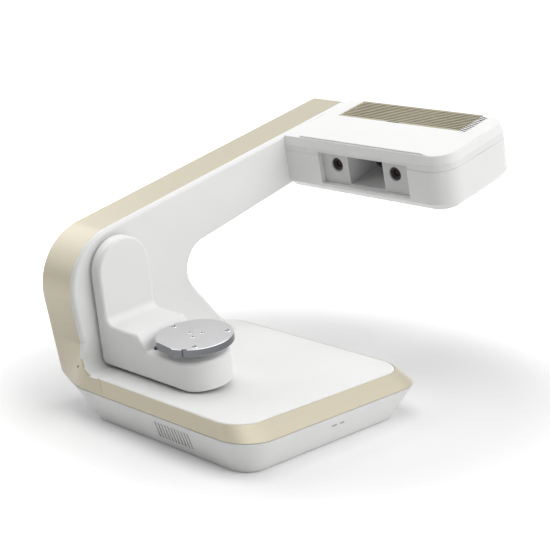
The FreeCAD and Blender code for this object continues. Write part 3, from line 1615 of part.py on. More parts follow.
fan_half_width = 20.0
fan_height = 10.0
fan_centre_x = 200.0
fan_hub_radius = 7.0
fan_blade_count = 7
fan_blade_thickness = 1.2
fan_top_gap = 9.4
fan_base_n = head_top_n - fan_top_gap - fan_height


def fan_centre():
    """X and S of the fan's axis, under the grille."""
    return fan_centre_x, grille_start_s + slat_bed / 2


def make_fan_frame():
    """Square frame of the head's fan, with its spokes and a foot on the bench."""
    x, s = fan_centre()
    n0, n1 = fan_base_n, fan_base_n + fan_height
    frame = block(x - fan_half_width, x + fan_half_width, s - fan_half_width, s + fan_half_width, n0, n1)
    well = rod(fan_half_width - shell_wall / 2, V(x, s, n0 + shell_wall / 2), V(x, s, n1 + over_depth))
    frame = frame.cut(well)
    ports = []
    for k in range(4):
        angle = math.radians(45 + 90 * k)
        mid = (fan_half_width + fan_hub_radius) / 2
        ports.append(rod(fan_hub_radius - shell_wall / 2,
                         V(x + mid * math.cos(angle), s + mid * math.sin(angle), n0 - over_depth),
                         V(x + mid * math.cos(angle), s + mid * math.sin(angle), n0 + over_depth)))
    frame = frame.cut(Part.makeCompound(ports))
    pin = rod(fan_blade_thickness, V(x, s, n0), V(x, s, n1 - shell_wall))
    leg_s = bench_s + bench_thickness
    leg = block(x - fan_hub_radius, x + fan_hub_radius, leg_s, s - fan_half_width + seat_gap,
                n0, n1 - shell_wall)
    return in_arm(merged(frame, pin, leg))


def make_fan_rotor():
    """Hub and blades of the fan."""
    x, s = fan_centre()
    n0 = fan_base_n + shell_wall / 2 + body_gap
    n1 = fan_base_n + fan_height - shell_wall / 2
    hub = rod(fan_hub_radius, V(x, s, n0), V(x, s, n1))
    blades = [hub]
    reach = fan_half_width - shell_wall
    for k in range(fan_blade_count):
        blade = block(0, reach, -fan_blade_thickness / 2, fan_blade_thickness / 2,
                      n0, n1 - fan_blade_thickness)
        blade.rotate(V(0, 0, 0), Z_DIR, 360 * k / fan_blade_count)
        blade.translate(V(x, s, 0))
        blades.append(blade)
    bore = rod(fan_blade_thickness + seat_gap / 2, V(x, s, 0),
               V(x, s, n1 - fan_blade_thickness))
    return in_arm(merged(*blades).cut(bore))


sink_fins = 9
sink_height = 8.0


def make_heat_sink():
    """Finned block on top of the projector, under the grille."""
    half_x, half_n = projector_half_width, projector_half_height
    s0 = bench_s + bench_thickness
    base_n = projector_n + half_n
    top_n = min(base_n + sink_height, head_top_n - grille_bar_depth - 2 * shell_wall)
    pitch = 2 * half_x / (2 * sink_fins - 1)
    parts = [block(scan_centre_x - half_x, scan_centre_x + half_x, s0, s0 + projector_length,
                   base_n, base_n + bay_wall)]
    for i in range(sink_fins):
        x = scan_centre_x - half_x + 2 * i * pitch
        parts.append(block(x, x + pitch, s0, s0 + projector_length, base_n, top_n))
    return in_arm(merged(*parts))


def make_head_board():
    """Camera board on the back of the bench, left of the projector."""
    s0 = bench_s + bench_thickness
    x0 = head_left_x + 4 * shell_wall
    x1 = scan_centre_x - projector_half_width - over_depth
    n0 = head_bottom_n + head_chamfer_width + 2 * shell_wall
    n1 = projector_n + projector_half_height
    board = block(x0, x1, s0 + board_standoff_height, s0 + board_standoff_height + board_thickness, n0, n1)
    parts = [board]
    for x in (x0 + board_standoff_height, x1 - board_standoff_height):
        for n in (n0 + board_standoff_height, n1 - board_standoff_height):
            parts.append(rod(board_standoff_height / 2, V(x, s0, n),
                             V(x, s0 + board_standoff_height + seat_gap, n)))
    side, height = chip_width, chip_height
    mid_x, mid_n = (x0 + x1) / 2, (n0 + n1) / 2
    face = s0 + board_standoff_height + board_thickness
    parts.append(block(mid_x - side / 2, mid_x + side / 2, face - seat_gap, face + height,
                       mid_n - side / 2, mid_n + side / 2))
    return in_arm(merged(*parts))


def build():
    """All pieces, each under its own name."""
    nodes["base_tub"] = make_tub()
    nodes["rubber_feet"] = make_feet()
    nodes["chassis_plate"] = make_chassis()
    nodes["chassis_screws"] = make_chassis_screws()
    nodes["status_lights"] = make_lights()
    nodes["rear_panel"] = make_panel()
    nodes["power_inlet"] = make_inlet()
    nodes["usb_port"] = make_usb()
    nodes["switch_frame"] = make_switch_frame()
    nodes["switch_rocker"] = make_rocker()
    nodes["main_board"] = make_main_board()
    nodes["base_band"] = make_band()
    nodes["base_cover"] = make_cover()
    nodes["slab_ribbon"] = make_ribbon()
    nodes["slab_shell_left"] = make_left_shell()
    nodes["slab_shell_right"] = make_right_shell()
    nodes["shell_screws"] = make_shell_screws()
    nodes["slab_frame"] = make_frame()
    nodes["frame_bolts"] = make_flange_bolts()
    nodes["tilt_bearings"] = make_tilt_bearings()
    nodes["tilt_shaft"] = make_tilt_shaft()
    nodes["tilt_pulley"] = make_tilt_pulley()
    nodes["tilt_belt"] = make_belt()
    nodes["tilt_motor"] = make_tilt_motor()
    nodes["motor_pulley"] = make_motor_pulley()
    nodes["swing_shell"] = make_swing_shell()
    nodes["swing_cover"] = make_swing_cover()
    nodes["index_pin"] = make_index_pin()
    nodes["turntable_bearing"] = make_turn_bearing()
    nodes["turntable_motor"] = make_turn_motor()
    nodes["turntable_spindle"] = make_spindle()
    nodes["turntable_disc"] = make_disc()
    nodes["disc_screws"] = make_disc_screws()
    nodes["rim_studs"] = make_rim_pins()
    nodes["head_shell"] = make_head_lower()
    nodes["head_cover"] = make_head_cover()
    nodes["head_grille"] = make_grille()
    nodes["window_bezel"] = make_bezel()
    nodes["camera_plate_left"] = make_camera_plate(-1)
    nodes["camera_plate_right"] = make_camera_plate(1)
    nodes["camera_left"] = make_camera(-1)
    nodes["camera_right"] = make_camera(1)
    nodes["lens_left"] = make_lens(-1)
    nodes["lens_right"] = make_lens(1)
    nodes["projector_bay"] = make_bay()
    nodes["projector"] = make_projector()
    nodes["projector_lens"] = make_projector_lens()
    nodes["optics_bench"] = make_bench()
    nodes["fan_frame"] = make_fan_frame()
    nodes["fan_rotor"] = make_fan_rotor()
    nodes["heat_sink"] = make_heat_sink()
    nodes["head_board"] = make_head_board()


def export():
    """Moves the whole over its origin and writes each piece."""
    whole = FreeCAD.BoundBox()
    for shape in nodes.values():
        whole.add(shape.optimalBoundingBox())
    shift = V(-whole.Center.x, -whole.Center.y, -whole.ZMin)
    print("shift", shift, "size", whole.XLength, whole.YLength, whole.ZLength)
    os.makedirs("parts", exist_ok=True)
    for name, shape in nodes.items():
        shape.translate(shift)
        print(name, shape.isValid(), len(shape.Solids), round(shape.Volume, 1))
        shape.exportStep("parts/" + name + ".step")


build()
export()
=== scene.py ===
"""Looks of a desktop 3D scanner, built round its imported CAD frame.

The frame gives every piece its place and size. Each sub-assembly is a class that
dresses its CAD nodes: it gives them a material, eases their edges, or stands a
more detailed piece in their place. Everything is in metres, in the frame's axes:
X to the right, Y to the back and Z up.
"""

import logging
import math
from dataclasses import dataclass
from enum import Enum
from typing import Sequence

import bmesh
import bpy
from mathutils import Matrix, Vector


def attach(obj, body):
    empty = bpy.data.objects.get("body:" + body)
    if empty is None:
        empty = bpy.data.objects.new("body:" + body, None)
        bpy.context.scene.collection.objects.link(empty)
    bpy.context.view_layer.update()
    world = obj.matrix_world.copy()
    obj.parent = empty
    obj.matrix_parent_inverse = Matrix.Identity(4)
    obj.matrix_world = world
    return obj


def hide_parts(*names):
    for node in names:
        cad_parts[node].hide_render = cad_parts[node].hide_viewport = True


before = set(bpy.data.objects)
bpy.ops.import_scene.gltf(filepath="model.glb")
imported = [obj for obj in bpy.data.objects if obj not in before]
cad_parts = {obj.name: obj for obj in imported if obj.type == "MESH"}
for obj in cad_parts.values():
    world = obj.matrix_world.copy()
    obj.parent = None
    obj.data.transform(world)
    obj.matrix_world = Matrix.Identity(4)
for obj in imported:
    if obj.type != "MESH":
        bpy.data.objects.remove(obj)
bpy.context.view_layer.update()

log = logging.getLogger("scanner")
MM = 0.001
SHARP_EDGE = math.radians(32.0)
FLAT_PATCH = math.radians(0.4)
WELD = 0.002 * MM
SPIN_WELD_MM = 0.0005
HEAD_SIDES, SHANK_SIDES, KEY_SIDES, HOLE_SIDES = 40, 24, 6, 16
ARM_RISE = math.radians(14.63)
SWING_TILT = math.radians(7.5)
# Place of the drawing's zero point, the front left corner of the base, in the frame
DRAWING_ORIGIN = Vector((-130.0, -192.487, 1.2))

Profile = Sequence[tuple[float, float]]


class BodyName(Enum):
    """Moving groups of the frame that pieces ride on."""

    BASE = "base"
    SWING_ARM = "swing_arm"
    TURNTABLE = "turntable"
    MOTOR_PULLEY = "motor_pulley"
    FAN = "fan_rotor"
    SWITCH = "switch_rocker"


class Axes(Enum):
    """Directions in which a sub-assembly is drawn, as turns about X."""

    LEVEL = 0.0
    ARM = ARM_RISE
    SWING = SWING_TILT

    def matrix(self) -> Matrix:
        """Turn and move from drawing millimetres to the frame's metres."""
        place = Matrix.Translation(DRAWING_ORIGIN * MM)
        return place @ Matrix.Rotation(self.value, 4, "X") @ Matrix.Scale(MM, 4)


def linear(hex_colour: str) -> tuple[float, float, float, float]:
    """Turns an sRGB hex colour to linear light.

    Args:
        hex_colour: Six hex digits, such as "F4F4F2".

    Returns:
        Red, green, blue and an alpha of one.
    """
    channels = [int(hex_colour[i:i + 2], 16) / 255 for i in (0, 2, 4)]
    turned = [c / 12.92 if c <= 0.04045 else ((c + 0.055) / 1.055) ** 2.4 for c in channels]
    return turned[0], turned[1], turned[2], 1.0


def add_node(tree: bpy.types.NodeTree, kind: str, inputs: dict | None = None, **settings: object) -> bpy.types.Node:
    """Adds a node with its settings, and fills or links its inputs.

    Args:
        tree: Shader or geometry tree.
        kind: Node type's identifier.
        inputs: Values, sockets or lists of sockets, by input name or number.
        **settings: Attributes of the node.

    Returns:
        The new node.
    """
    made = tree.nodes.new(kind)
    for name, value in settings.items():
        setattr(made, name, value)
    for key, value in (inputs or {}).items():
        if isinstance(value, list):
            for socket in value:
                tree.links.new(socket, made.inputs[key])
        elif isinstance(value, bpy.types.NodeSocket):
            tree.links.new(value, made.inputs[key])
        else:
            made.inputs[key].default_value = value
    return made


def new_material(name: str) -> tuple[bpy.types.Material, bpy.types.NodeTree, bpy.types.Node]:
    """Starts a node material.

    Args:
        name: Name of the real material.

    Returns:
        The material, its tree and its surface shader.
    """
    material = bpy.data.materials.new(name)
    material.use_nodes = True
    tree = material.node_tree
    shader = next(n for n in tree.nodes if n.type == "BSDF_PRINCIPLED")
    return material, tree, shader


def link_surface(tree: bpy.types.NodeTree, shader: bpy.types.Node, colour: bpy.types.NodeSocket,
                 rough: bpy.types.NodeSocket, normal: bpy.types.NodeSocket) -> None:
    """Links what varies over a surface to its shader.

    Args:
        tree: Material's tree.
        shader: Surface shader.
        colour: Base colour.
        rough: Roughness.
        normal: Shading normal.
    """
    for name, socket in (("Base Color", colour), ("Roughness", rough), ("Normal", normal)):
        tree.links.new(socket, shader.inputs[name])


def mottled(tree: bpy.types.NodeTree, pattern: bpy.types.NodeSocket, colour: str,
            shade: str) -> bpy.types.NodeSocket:
    """Mixes a finish's two colours by a pattern.

    Args:
        tree: Material's tree.
        pattern: Share of the second colour.
        colour: First sRGB hex colour.
        shade: Second sRGB hex colour.

    Returns:
        The mixed colour.
    """
    mix = add_node(tree, "ShaderNodeMix", {"Factor": pattern, "A": linear(colour), "B": linear(shade)},
                   data_type="RGBA")
    return mix.outputs["Result"]


@dataclass(frozen=True)
class MouldedPlastic:
    """Injection-moulded ABS or similar, with the fine spark-eroded grain of its tool."""

    name: str
    colour: str
    shade: str
    roughness: float
    grain_mm: float
    grain_depth_mm: float
    specular: float = 0.5
    edge_mm: float = 0.35

    def material(self) -> bpy.types.Material:
        """Builds the material; the grain is drawn coarser than real so that it shows.

        Returns:
            The material.
        """
        made, tree, shader = new_material(self.name)
        place = add_node(tree, "ShaderNodeTexCoord").outputs["Object"]
        cloud = add_node(tree, "ShaderNodeTexNoise", {"Vector": place, "Scale": 1 / (55 * MM), "Detail": 3.0})
        tint = mottled(tree, cloud.outputs["Fac"], self.colour, self.shade)
        grain = add_node(tree, "ShaderNodeTexNoise", {"Vector": place, "Scale": 1 / (self.grain_mm * MM),
                                                      "Detail": 4.0, "Roughness": 0.65})
        rough = add_node(tree, "ShaderNodeMapRange", {"Value": grain.outputs["Fac"], "From Min": 0.3, "From Max": 0.7,
                                                      "To Min": self.roughness - 0.05,
                                                      "To Max": self.roughness + 0.07})
        eased = add_node(tree, "ShaderNodeBevel", {"Radius": self.edge_mm * MM}, samples=4)
        bump = add_node(tree, "ShaderNodeBump", {"Height": grain.outputs["Fac"], "Strength": 0.35,
                                                 "Distance": self.grain_depth_mm * MM,
                                                 "Normal": eased.outputs["Normal"]})
        link_surface(tree, shader, tint, rough.outputs["Result"], bump.outputs["Normal"])
        shader.inputs["Specular IOR Level"].default_value = self.specular
        shader.inputs["IOR"].default_value = 1.53
        return made


@dataclass(frozen=True)
class MetallicCoat:
    """Champagne metallic lacquer: fine aluminium flakes in a satin clear film."""

    name: str
    colour: str
    shade: str
    metallic: float
    roughness: float
    flake_mm: float
    edge_mm: float = 0.25

    def material(self) -> bpy.types.Material:
        """Builds the material; the flakes are drawn at a fifth of a millimetre so that they show.

        Returns:
            The material.
        """
        made, tree, shader = new_material(self.name)
        place = add_node(tree, "ShaderNodeTexCoord").outputs["Object"]
        flakes = add_node(tree, "ShaderNodeTexVoronoi", {"Vector": place, "Scale": 1 / (self.flake_mm * MM)})
        spread = add_node(tree, "ShaderNodeMapRange", {"Value": flakes.outputs["Distance"], "To Min": 0.25,
                                                       "To Max": 0.75})
        tint = mottled(tree, spread.outputs["Result"], self.colour, self.shade)
        cloud = add_node(tree, "ShaderNodeTexNoise", {"Vector": place, "Scale": 1 / (30 * MM), "Detail": 2.0})
        rough = add_node(tree, "ShaderNodeMapRange", {"Value": cloud.outputs["Fac"], "To Min": self.roughness - 0.03,
                                                      "To Max": self.roughness + 0.04})
        eased = add_node(tree, "ShaderNodeBevel", {"Radius": self.edge_mm * MM}, samples=4)
        bump = add_node(tree, "ShaderNodeBump", {"Height": flakes.outputs["Distance"], "Strength": 0.12,
                                                 "Distance": 0.02 * MM, "Normal": eased.outputs["Normal"]})
        link_surface(tree, shader, tint, rough.outputs["Result"], bump.outputs["Normal"])
        shader.inputs["Metallic"].default_value = self.metallic
        shader.inputs["Coat Weight"].default_value = 0.25
        shader.inputs["Coat Roughness"].default_value = 0.3
        return made


@dataclass(frozen=True)
class TurnedSteel:
    """Stainless steel faced on a lathe: fine rings about the disc's centre."""

    name: str
    colour: str
    shade: str
    roughness: float
    ring_mm: float
    centre: tuple[float, float, float]

    def material(self) -> bpy.types.Material:
        """Builds the material; the tool's rings are drawn wider than real so that they show.

        Returns:
            The material.
        """
        made, tree, shader = new_material(self.name)
        place = add_node(tree, "ShaderNodeTexCoord").outputs["Object"]
        centre = Axes.SWING.matrix() @ Vector(self.centre)
        moved = add_node(tree, "ShaderNodeVectorMath", {0: place, 1: tuple(centre)}, operation="SUBTRACT")
        turned = add_node(tree, "ShaderNodeVectorRotate", {"Vector": moved.outputs["Vector"], "Angle": -SWING_TILT,
                                                           "Axis": (1.0, 0.0, 0.0)})
        flat = add_node(tree, "ShaderNodeVectorMath", {0: turned.outputs["Vector"], 1: (1.0, 1.0, 0.0)},
                        operation="MULTIPLY")
        radius = add_node(tree, "ShaderNodeVectorMath", {0: flat.outputs["Vector"]}, operation="LENGTH")
        phase = add_node(tree, "ShaderNodeMath", {0: radius.outputs["Value"], 1: math.tau / (self.ring_mm * MM)},
                         operation="MULTIPLY")
        wave = add_node(tree, "ShaderNodeMath", {0: phase.outputs["Value"]}, operation="SINE")
        jitter = add_node(tree, "ShaderNodeTexNoise", {"W": radius.outputs["Value"], "Detail": 2.0,
                                                       "Scale": 1 / (1.7 * MM)}, noise_dimensions="1D")
        both = add_node(tree, "ShaderNodeMath", {0: wave.outputs["Value"], 1: 0.35, 2: jitter.outputs["Fac"]},
                        operation="MULTIPLY_ADD")
        rough = add_node(tree, "ShaderNodeMapRange", {"Value": jitter.outputs["Fac"], "From Min": 0.3,
                                                      "From Max": 0.7, "To Min": self.roughness - 0.02,
                                                      "To Max": self.roughness + 0.03})
        tint = mottled(tree, jitter.outputs["Fac"], self.colour, self.shade)
        bump = add_node(tree, "ShaderNodeBump", {"Height": both.outputs["Value"], "Strength": 0.07,
                                                 "Distance": 0.01 * MM})
        link_surface(tree, shader, tint, rough.outputs["Result"], bump.outputs["Normal"])
        shader.inputs["Metallic"].default_value = 1.0
        return made


@dataclass(frozen=True)
class PlainMetal:
    """Bare or plated metal with a blasted, ground or plated surface."""

    name: str
    colour: str
    shade: str
    roughness: float
    grain_mm: float

    def material(self) -> bpy.types.Material:
        """Builds the material.

        Returns:
            The material.
        """
        made, tree, shader = new_material(self.name)
        place = add_node(tree, "ShaderNodeTexCoord").outputs["Object"]
        grain = add_node(tree, "ShaderNodeTexNoise", {"Vector": place, "Scale": 1 / (self.grain_mm * MM),
                                                      "Detail": 3.0})
        tint = mottled(tree, grain.outputs["Fac"], self.colour, self.shade)
        rough = add_node(tree, "ShaderNodeMapRange", {"Value": grain.outputs["Fac"], "To Min": self.roughness - 0.08,
                                                      "To Max": self.roughness + 0.08})
        bump = add_node(tree, "ShaderNodeBump", {"Height": grain.outputs["Fac"], "Strength": 0.3,
                                                 "Distance": 0.02 * MM})
        link_surface(tree, shader, tint, rough.outputs["Result"], bump.outputs["Normal"])
        shader.inputs["Metallic"].default_value = 1.0
        return made


@dataclass(frozen=True)
class CoatedGlass:
    """Lens glass over a dark barrel; the red glint of its coating is painted into its colour."""

    name: str
    rim: str
    heart: str
    roughness: float = 0.04

    def material(self) -> bpy.types.Material:
        """Builds the material; the painted glint's colour grows where the glass turns away.

        Returns:
            The material.
        """
        made, tree, shader = new_material(self.name)
        # Painted glint: the colour turns from the heart colour to the rim colour as the surface turns from the eye.
        facing = add_node(tree, "ShaderNodeLayerWeight", {"Blend": 0.35})
        tint = mottled(tree, facing.outputs["Facing"], self.heart, self.rim)
        tree.links.new(tint, shader.inputs["Base Color"])
        shader.inputs["Roughness"].default_value = self.roughness
        shader.inputs["IOR"].default_value = 1.6
        shader.inputs["Specular IOR Level"].default_value = 0.15
        return made


@dataclass(frozen=True)
class CircuitBoard:
    """Green solder mask over glass laminate, with paler copper tracks under it."""

    name: str
    mask: str
    track: str
    track_mm: float

    def material(self) -> bpy.types.Material:
        """Builds the material.

        Returns:
            The material.
        """
        made, tree, shader = new_material(self.name)
        place = add_node(tree, "ShaderNodeTexCoord").outputs["Object"]
        cells = add_node(tree, "ShaderNodeTexBrick", {"Vector": place, "Scale": 1 / (self.track_mm * MM),
                                                      "Color1": linear(self.mask), "Color2": linear(self.mask),
                                                      "Mortar": linear(self.track), "Mortar Size": 0.03})
        tree.links.new(cells.outputs["Color"], shader.inputs["Base Color"])
        shader.inputs["Roughness"].default_value = 0.4
        return made


@dataclass(frozen=True)
class FrostedLight:
    """Frosted clear polycarbonate of a light pipe, unlit."""

    name: str
    colour: str
    roughness: float

    def material(self) -> bpy.types.Material:
        """Builds the material.

        Returns:
            The material.
        """
        made, tree, shader = new_material(self.name)
        place = add_node(tree, "ShaderNodeTexCoord").outputs["Object"]
        frost = add_node(tree, "ShaderNodeTexNoise", {"Vector": place, "Scale": 1 / (0.4 * MM), "Detail": 3.0})
        bump = add_node(tree, "ShaderNodeBump", {"Height": frost.outputs["Fac"], "Strength": 0.3,
                                                 "Distance": 0.02 * MM})
        shader.inputs["Base Color"].default_value = linear(self.colour)
        shader.inputs["Roughness"].default_value = self.roughness
        tree.links.new(bump.outputs["Normal"], shader.inputs["Normal"])
        return made


WHITE_ABS = MouldedPlastic("white_abs", "F2F2F1", "EDEDEC", 0.40, 0.55, 0.03)
# Pale grey plastic of the camera plates, made darker still as painted shade for the window recess they sit in.
PLATE_ABS_WITH_RECESS_SHADE = MouldedPlastic("pale_grey_abs_with_painted_recess_shade", "D6D6D6", "CECECE", 0.5, 0.7, 0.03)
INNER_ABS = MouldedPlastic("white_abs_matt", "E4E4E4", "DCDCDC", 0.6, 0.8, 0.03)
BLACK_ABS = MouldedPlastic("black_abs", "141416", "1B1B1D", 0.45, 0.5, 0.04)
GREY_PLASTIC = MouldedPlastic("grey_polycarbonate", "8F8F8F", "858585", 0.5, 0.5, 0.03)
BLACK_RUBBER = MouldedPlastic("black_rubber", "17171A", "202023", 0.75, 0.9, 0.06, 0.3)
CHAMPAGNE = MetallicCoat("champagne_lacquer", "C4BCA7", "B7AF99", 0.3, 0.42, 0.22)
# A darker copy of the champagne lacquer for the outlet's slats and bars: painted shade for the gaps between them.
GRILLE_COAT_SHADED = MetallicCoat("champagne_lacquer_painted_grille_shade", "BDB49B", "ADA48B", 0.3, 0.42, 0.22)
STEEL_FACE = TurnedSteel("turned_stainless_steel", "D3D3D5", "C9C9CB", 0.3, 0.9, (142.8, 65.5, 79.2))
# Painted reflection: a darker copy of the disc's steel for its rim, in place of the dark bands a polished rim
# reflects.
STEEL_RIM_PAINTED_REFLECTION = PlainMetal("stainless_steel_painted_dark_reflection", "77787C", "6A6B6F", 0.2, 0.8)
ZINC = PlainMetal("zinc_plated_steel", "B4B7BC", "9FA2A8", 0.38, 6.0)
SCREW_STEEL = PlainMetal("stainless_screw_steel", "E2E2E4", "CFCFD2", 0.24, 0.6)
GROUND_STEEL = PlainMetal("ground_bearing_steel", "C4C5C8", "B2B3B7", 0.2, 1.2)
BLASTED = PlainMetal("blasted_aluminium", "C3C5C8", "B3B5B9", 0.5, 0.5)
NICKEL = PlainMetal("nickel_plate", "CFCBC2", "BDB9B0", 0.18, 2.0)
# Blackened steel of the motors; the same material also paints the shade inside the disc screws' sockets.
MOTOR_CASE_AND_SOCKET_SHADE = PlainMetal("blackened_steel_and_painted_socket_shade", "2B2B2E", "1E1E21", 0.45, 0.6)
LENS_RED = CoatedGlass("camera_glass_with_painted_red_glint", "5A2226", "0A0506")
LENS_DARK = CoatedGlass("projector_glass_with_painted_glint", "2A2230", "050507")
BOARD = CircuitBoard("green_circuit_board", "0F4A2A", "2B7A4A", 6.0)
LIGHT_PIPE = FrostedLight("frosted_light_pipe", "9A9DA0", 0.35)


class Palette:
    """Makes each finish's material once and keeps it."""

    def __init__(self) -> None:
        """Starts with no material made."""
        self._made: dict[str, bpy.types.Material] = {}

    def get(self, finish: object) -> bpy.types.Material:
        """Gives the finish's material, made on its first use.

        Args:
            finish: What a surface is made of.

        Returns:
            Its material.
        """
        if finish.name not in self._made:
            self._made[finish.name] = finish.material()
        return self._made[finish.name]


palette = Palette()


def object_from(name: str, mesh: bpy.types.Mesh) -> bpy.types.Object:
    """Puts a mesh in the scene as an object at the origin.

    Args:
        name: Name of the new object.
        mesh: Its shape.

    Returns:
        The new object.
    """
    made = bpy.data.objects.new(name, mesh)
    bpy.context.scene.collection.objects.link(made)
    return made


def applied(piece: bpy.types.Object) -> bpy.types.Object:
    """Turns an object's evaluated shape into its own plain mesh.

    Args:
        piece: Object with live modifiers.

    Returns:
        The same object, with no modifier left.
    """
    graph = bpy.context.evaluated_depsgraph_get()
    mesh = bpy.data.meshes.new_from_object(piece.evaluated_get(graph), depsgraph=graph)
    piece.modifiers.clear()
    old = piece.data
    piece.data = mesh
    bpy.data.meshes.remove(old)
    mesh.name = piece.name
    return piece


def smooth(mesh: bpy.types.Mesh) -> None:
    """Shades a mesh smooth up to its sharp edges."""
    mesh.polygons.foreach_set("use_smooth", [True] * len(mesh.polygons))
    mesh.set_sharp_from_angle(angle=SHARP_EDGE)


@dataclass
class Piece:
    """One shown piece: what it stands for, rides on and is finished with."""

    name: str
    body: BodyName
    finish: object
    slot: str
    replaces: tuple[str, ...] = ()

    def place(self, made: bpy.types.Object) -> bpy.types.Object:
        """Gives the object its material and its place in the table.

        Args:
            made: The finished object, at the origin.

        Returns:
            The same object.
        """
        made.data.materials.clear()
        made.data.materials.append(palette.get(self.finish))
        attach(made, self.body.value)
        if self.replaces:
            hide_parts(*self.replaces)
        log.info("%s: %d faces on %s", self.name, len(made.data.polygons), self.body.value)
        return made


def flat_areas(work: bmesh.types.BMesh, tolerance: float) -> list[float]:
    """Gives each face the area of the flat patch that it belongs to.

    Args:
        work: Mesh with up-to-date face numbers.
        tolerance: Largest angle between faces of one patch, in radians.

    Returns:
        One area for each face.
    """
    areas = [0.0] * len(work.faces)
    for seed in work.faces:
        if areas[seed.index]:
            continue
        patch, seen = [seed], {seed.index}
        for face in patch:
            for edge in face.edges:
                if len(edge.link_faces) == 2 and edge.calc_face_angle() < tolerance:
                    for other in edge.link_faces:
                        if other.index not in seen:
                            seen.add(other.index)
                            patch.append(other)
        total = max(sum(face.calc_area() for face in patch), 1e-12)
        for index in seen:
            areas[index] = total
    return areas


def corner_normals(work: bmesh.types.BMesh) -> list[Vector]:
    """Corner normals that keep flat patches flat and let curved ones run into them.

    Args:
        work: Merged mesh whose sharp edges are marked.

    Returns:
        One normal for each face corner, in the mesh's order.
    """
    areas = flat_areas(work, FLAT_PATCH)
    normals = [Vector((0, 0, 1))] * sum(len(face.loops) for face in work.faces)
    for vert in work.verts:
        waiting = {loop.index: loop for loop in vert.link_loops}
        while waiting:
            fan = [waiting.pop(next(iter(waiting)))]
            for corner in fan:
                for side in (corner, corner.link_loop_prev):
                    if not side.edge.smooth:
                        continue
                    for face in side.edge.link_faces:
                        for near in face.loops:
                            if near.vert is vert and near.index in waiting:
                                fan.append(waiting.pop(near.index))
            total = Vector((0, 0, 0))
            for corner in fan:
                total += corner.face.normal * (areas[corner.face.index] * corner.calc_angle())
            for corner in fan:
                normals[corner.index] = total.normalized() if total.length > 0 else corner.face.normal
    return normals


def soften_specks(work: bmesh.types.BMesh, largest: float) -> None:
    """Lets small facets that stand alone take the shading of the faces round them.

    Args:
        work: Mesh whose sharp edges are marked and whose faces are numbered.
        largest: Largest area of such a facet, in square metres.
    """
    areas = flat_areas(work, FLAT_PATCH)
    for face in work.faces:
        if areas[face.index] < largest and not any(edge.smooth for edge in face.edges):
            for edge in face.edges:
                edge.smooth = len(edge.link_faces) == 2


def shown_copy(node: str, name: str, speck_mm2: float) -> bpy.types.Object:
    """Copies a CAD node, joins its loose triangles and shades its curved faces smooth.

    Args:
        node: Name of the CAD node.
        name: Name of the new piece.
        speck_mm2: Largest facet that is shaded with the faces round it.

    Returns:
        The new object, its flat faces kept flat.
    """
    mesh = bpy.data.meshes.new(name)
    work = bmesh.new()
    work.from_mesh(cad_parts[node].data)
    bmesh.ops.remove_doubles(work, verts=work.verts, dist=WELD)
    bmesh.ops.dissolve_degenerate(work, edges=work.edges, dist=WELD)
    for edge in work.edges:
        edge.smooth = len(edge.link_faces) == 2 and edge.calc_face_angle() < SHARP_EDGE
    for face in work.faces:
        face.smooth = True
    work.normal_update()
    work.verts.index_update()
    work.faces.index_update()
    for index, loop in enumerate(loop for face in work.faces for loop in face.loops):
        loop.index = index
    soften_specks(work, speck_mm2 * MM ** 2)
    normals = corner_normals(work)
    work.to_mesh(mesh)
    work.free()
    mesh.normals_split_custom_set(normals)
    return object_from(name, mesh)


def dress(node: str, finish: object) -> None:
    """Keeps a CAD node as it is, with a new material.

    Args:
        node: Name of the CAD node.
        finish: What it is made of.
    """
    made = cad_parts[node]
    made.data.materials.clear()
    made.data.materials.append(palette.get(finish))
    log.info("%s: dressed as %s", node, finish.name)


def lathe(name: str, profile: Profile, axes: Axes, centre: Vector, along: Vector, steps: int) -> bpy.types.Object:
    """Turns a closed profile about an axis.

    Args:
        name: Name of the new object.
        profile: Radius and height pairs in millimetres, closed from last to first.
        axes: Drawing directions that the place and the axis are given in.
        centre: Point on the axis at height zero, in drawing millimetres.
        along: Direction of the axis.
        steps: Number of faces round the axis.

    Returns:
        The new object, closed, with its faces pointing outwards.
    """
    work = bmesh.new()
    turn = Vector((0, 0, 1)).rotation_difference(along).to_matrix().to_4x4()
    place = axes.matrix() @ Matrix.Translation(centre) @ turn
    verts = [work.verts.new((r, 0, h)) for r, h in profile]
    edges = [work.edges.new((verts[i], verts[(i + 1) % len(verts)])) for i in range(len(verts))]
    bmesh.ops.spin(work, geom=verts + edges, cent=(0, 0, 0), axis=(0, 0, 1), angle=math.tau, steps=steps,
                   use_merge=True)
    bmesh.ops.remove_doubles(work, verts=work.verts, dist=SPIN_WELD_MM)
    bmesh.ops.recalc_face_normals(work, faces=work.faces)
    work.transform(place)
    mesh = bpy.data.meshes.new(name)
    work.to_mesh(mesh)
    work.free()
    smooth(mesh)
    return object_from(name, mesh)


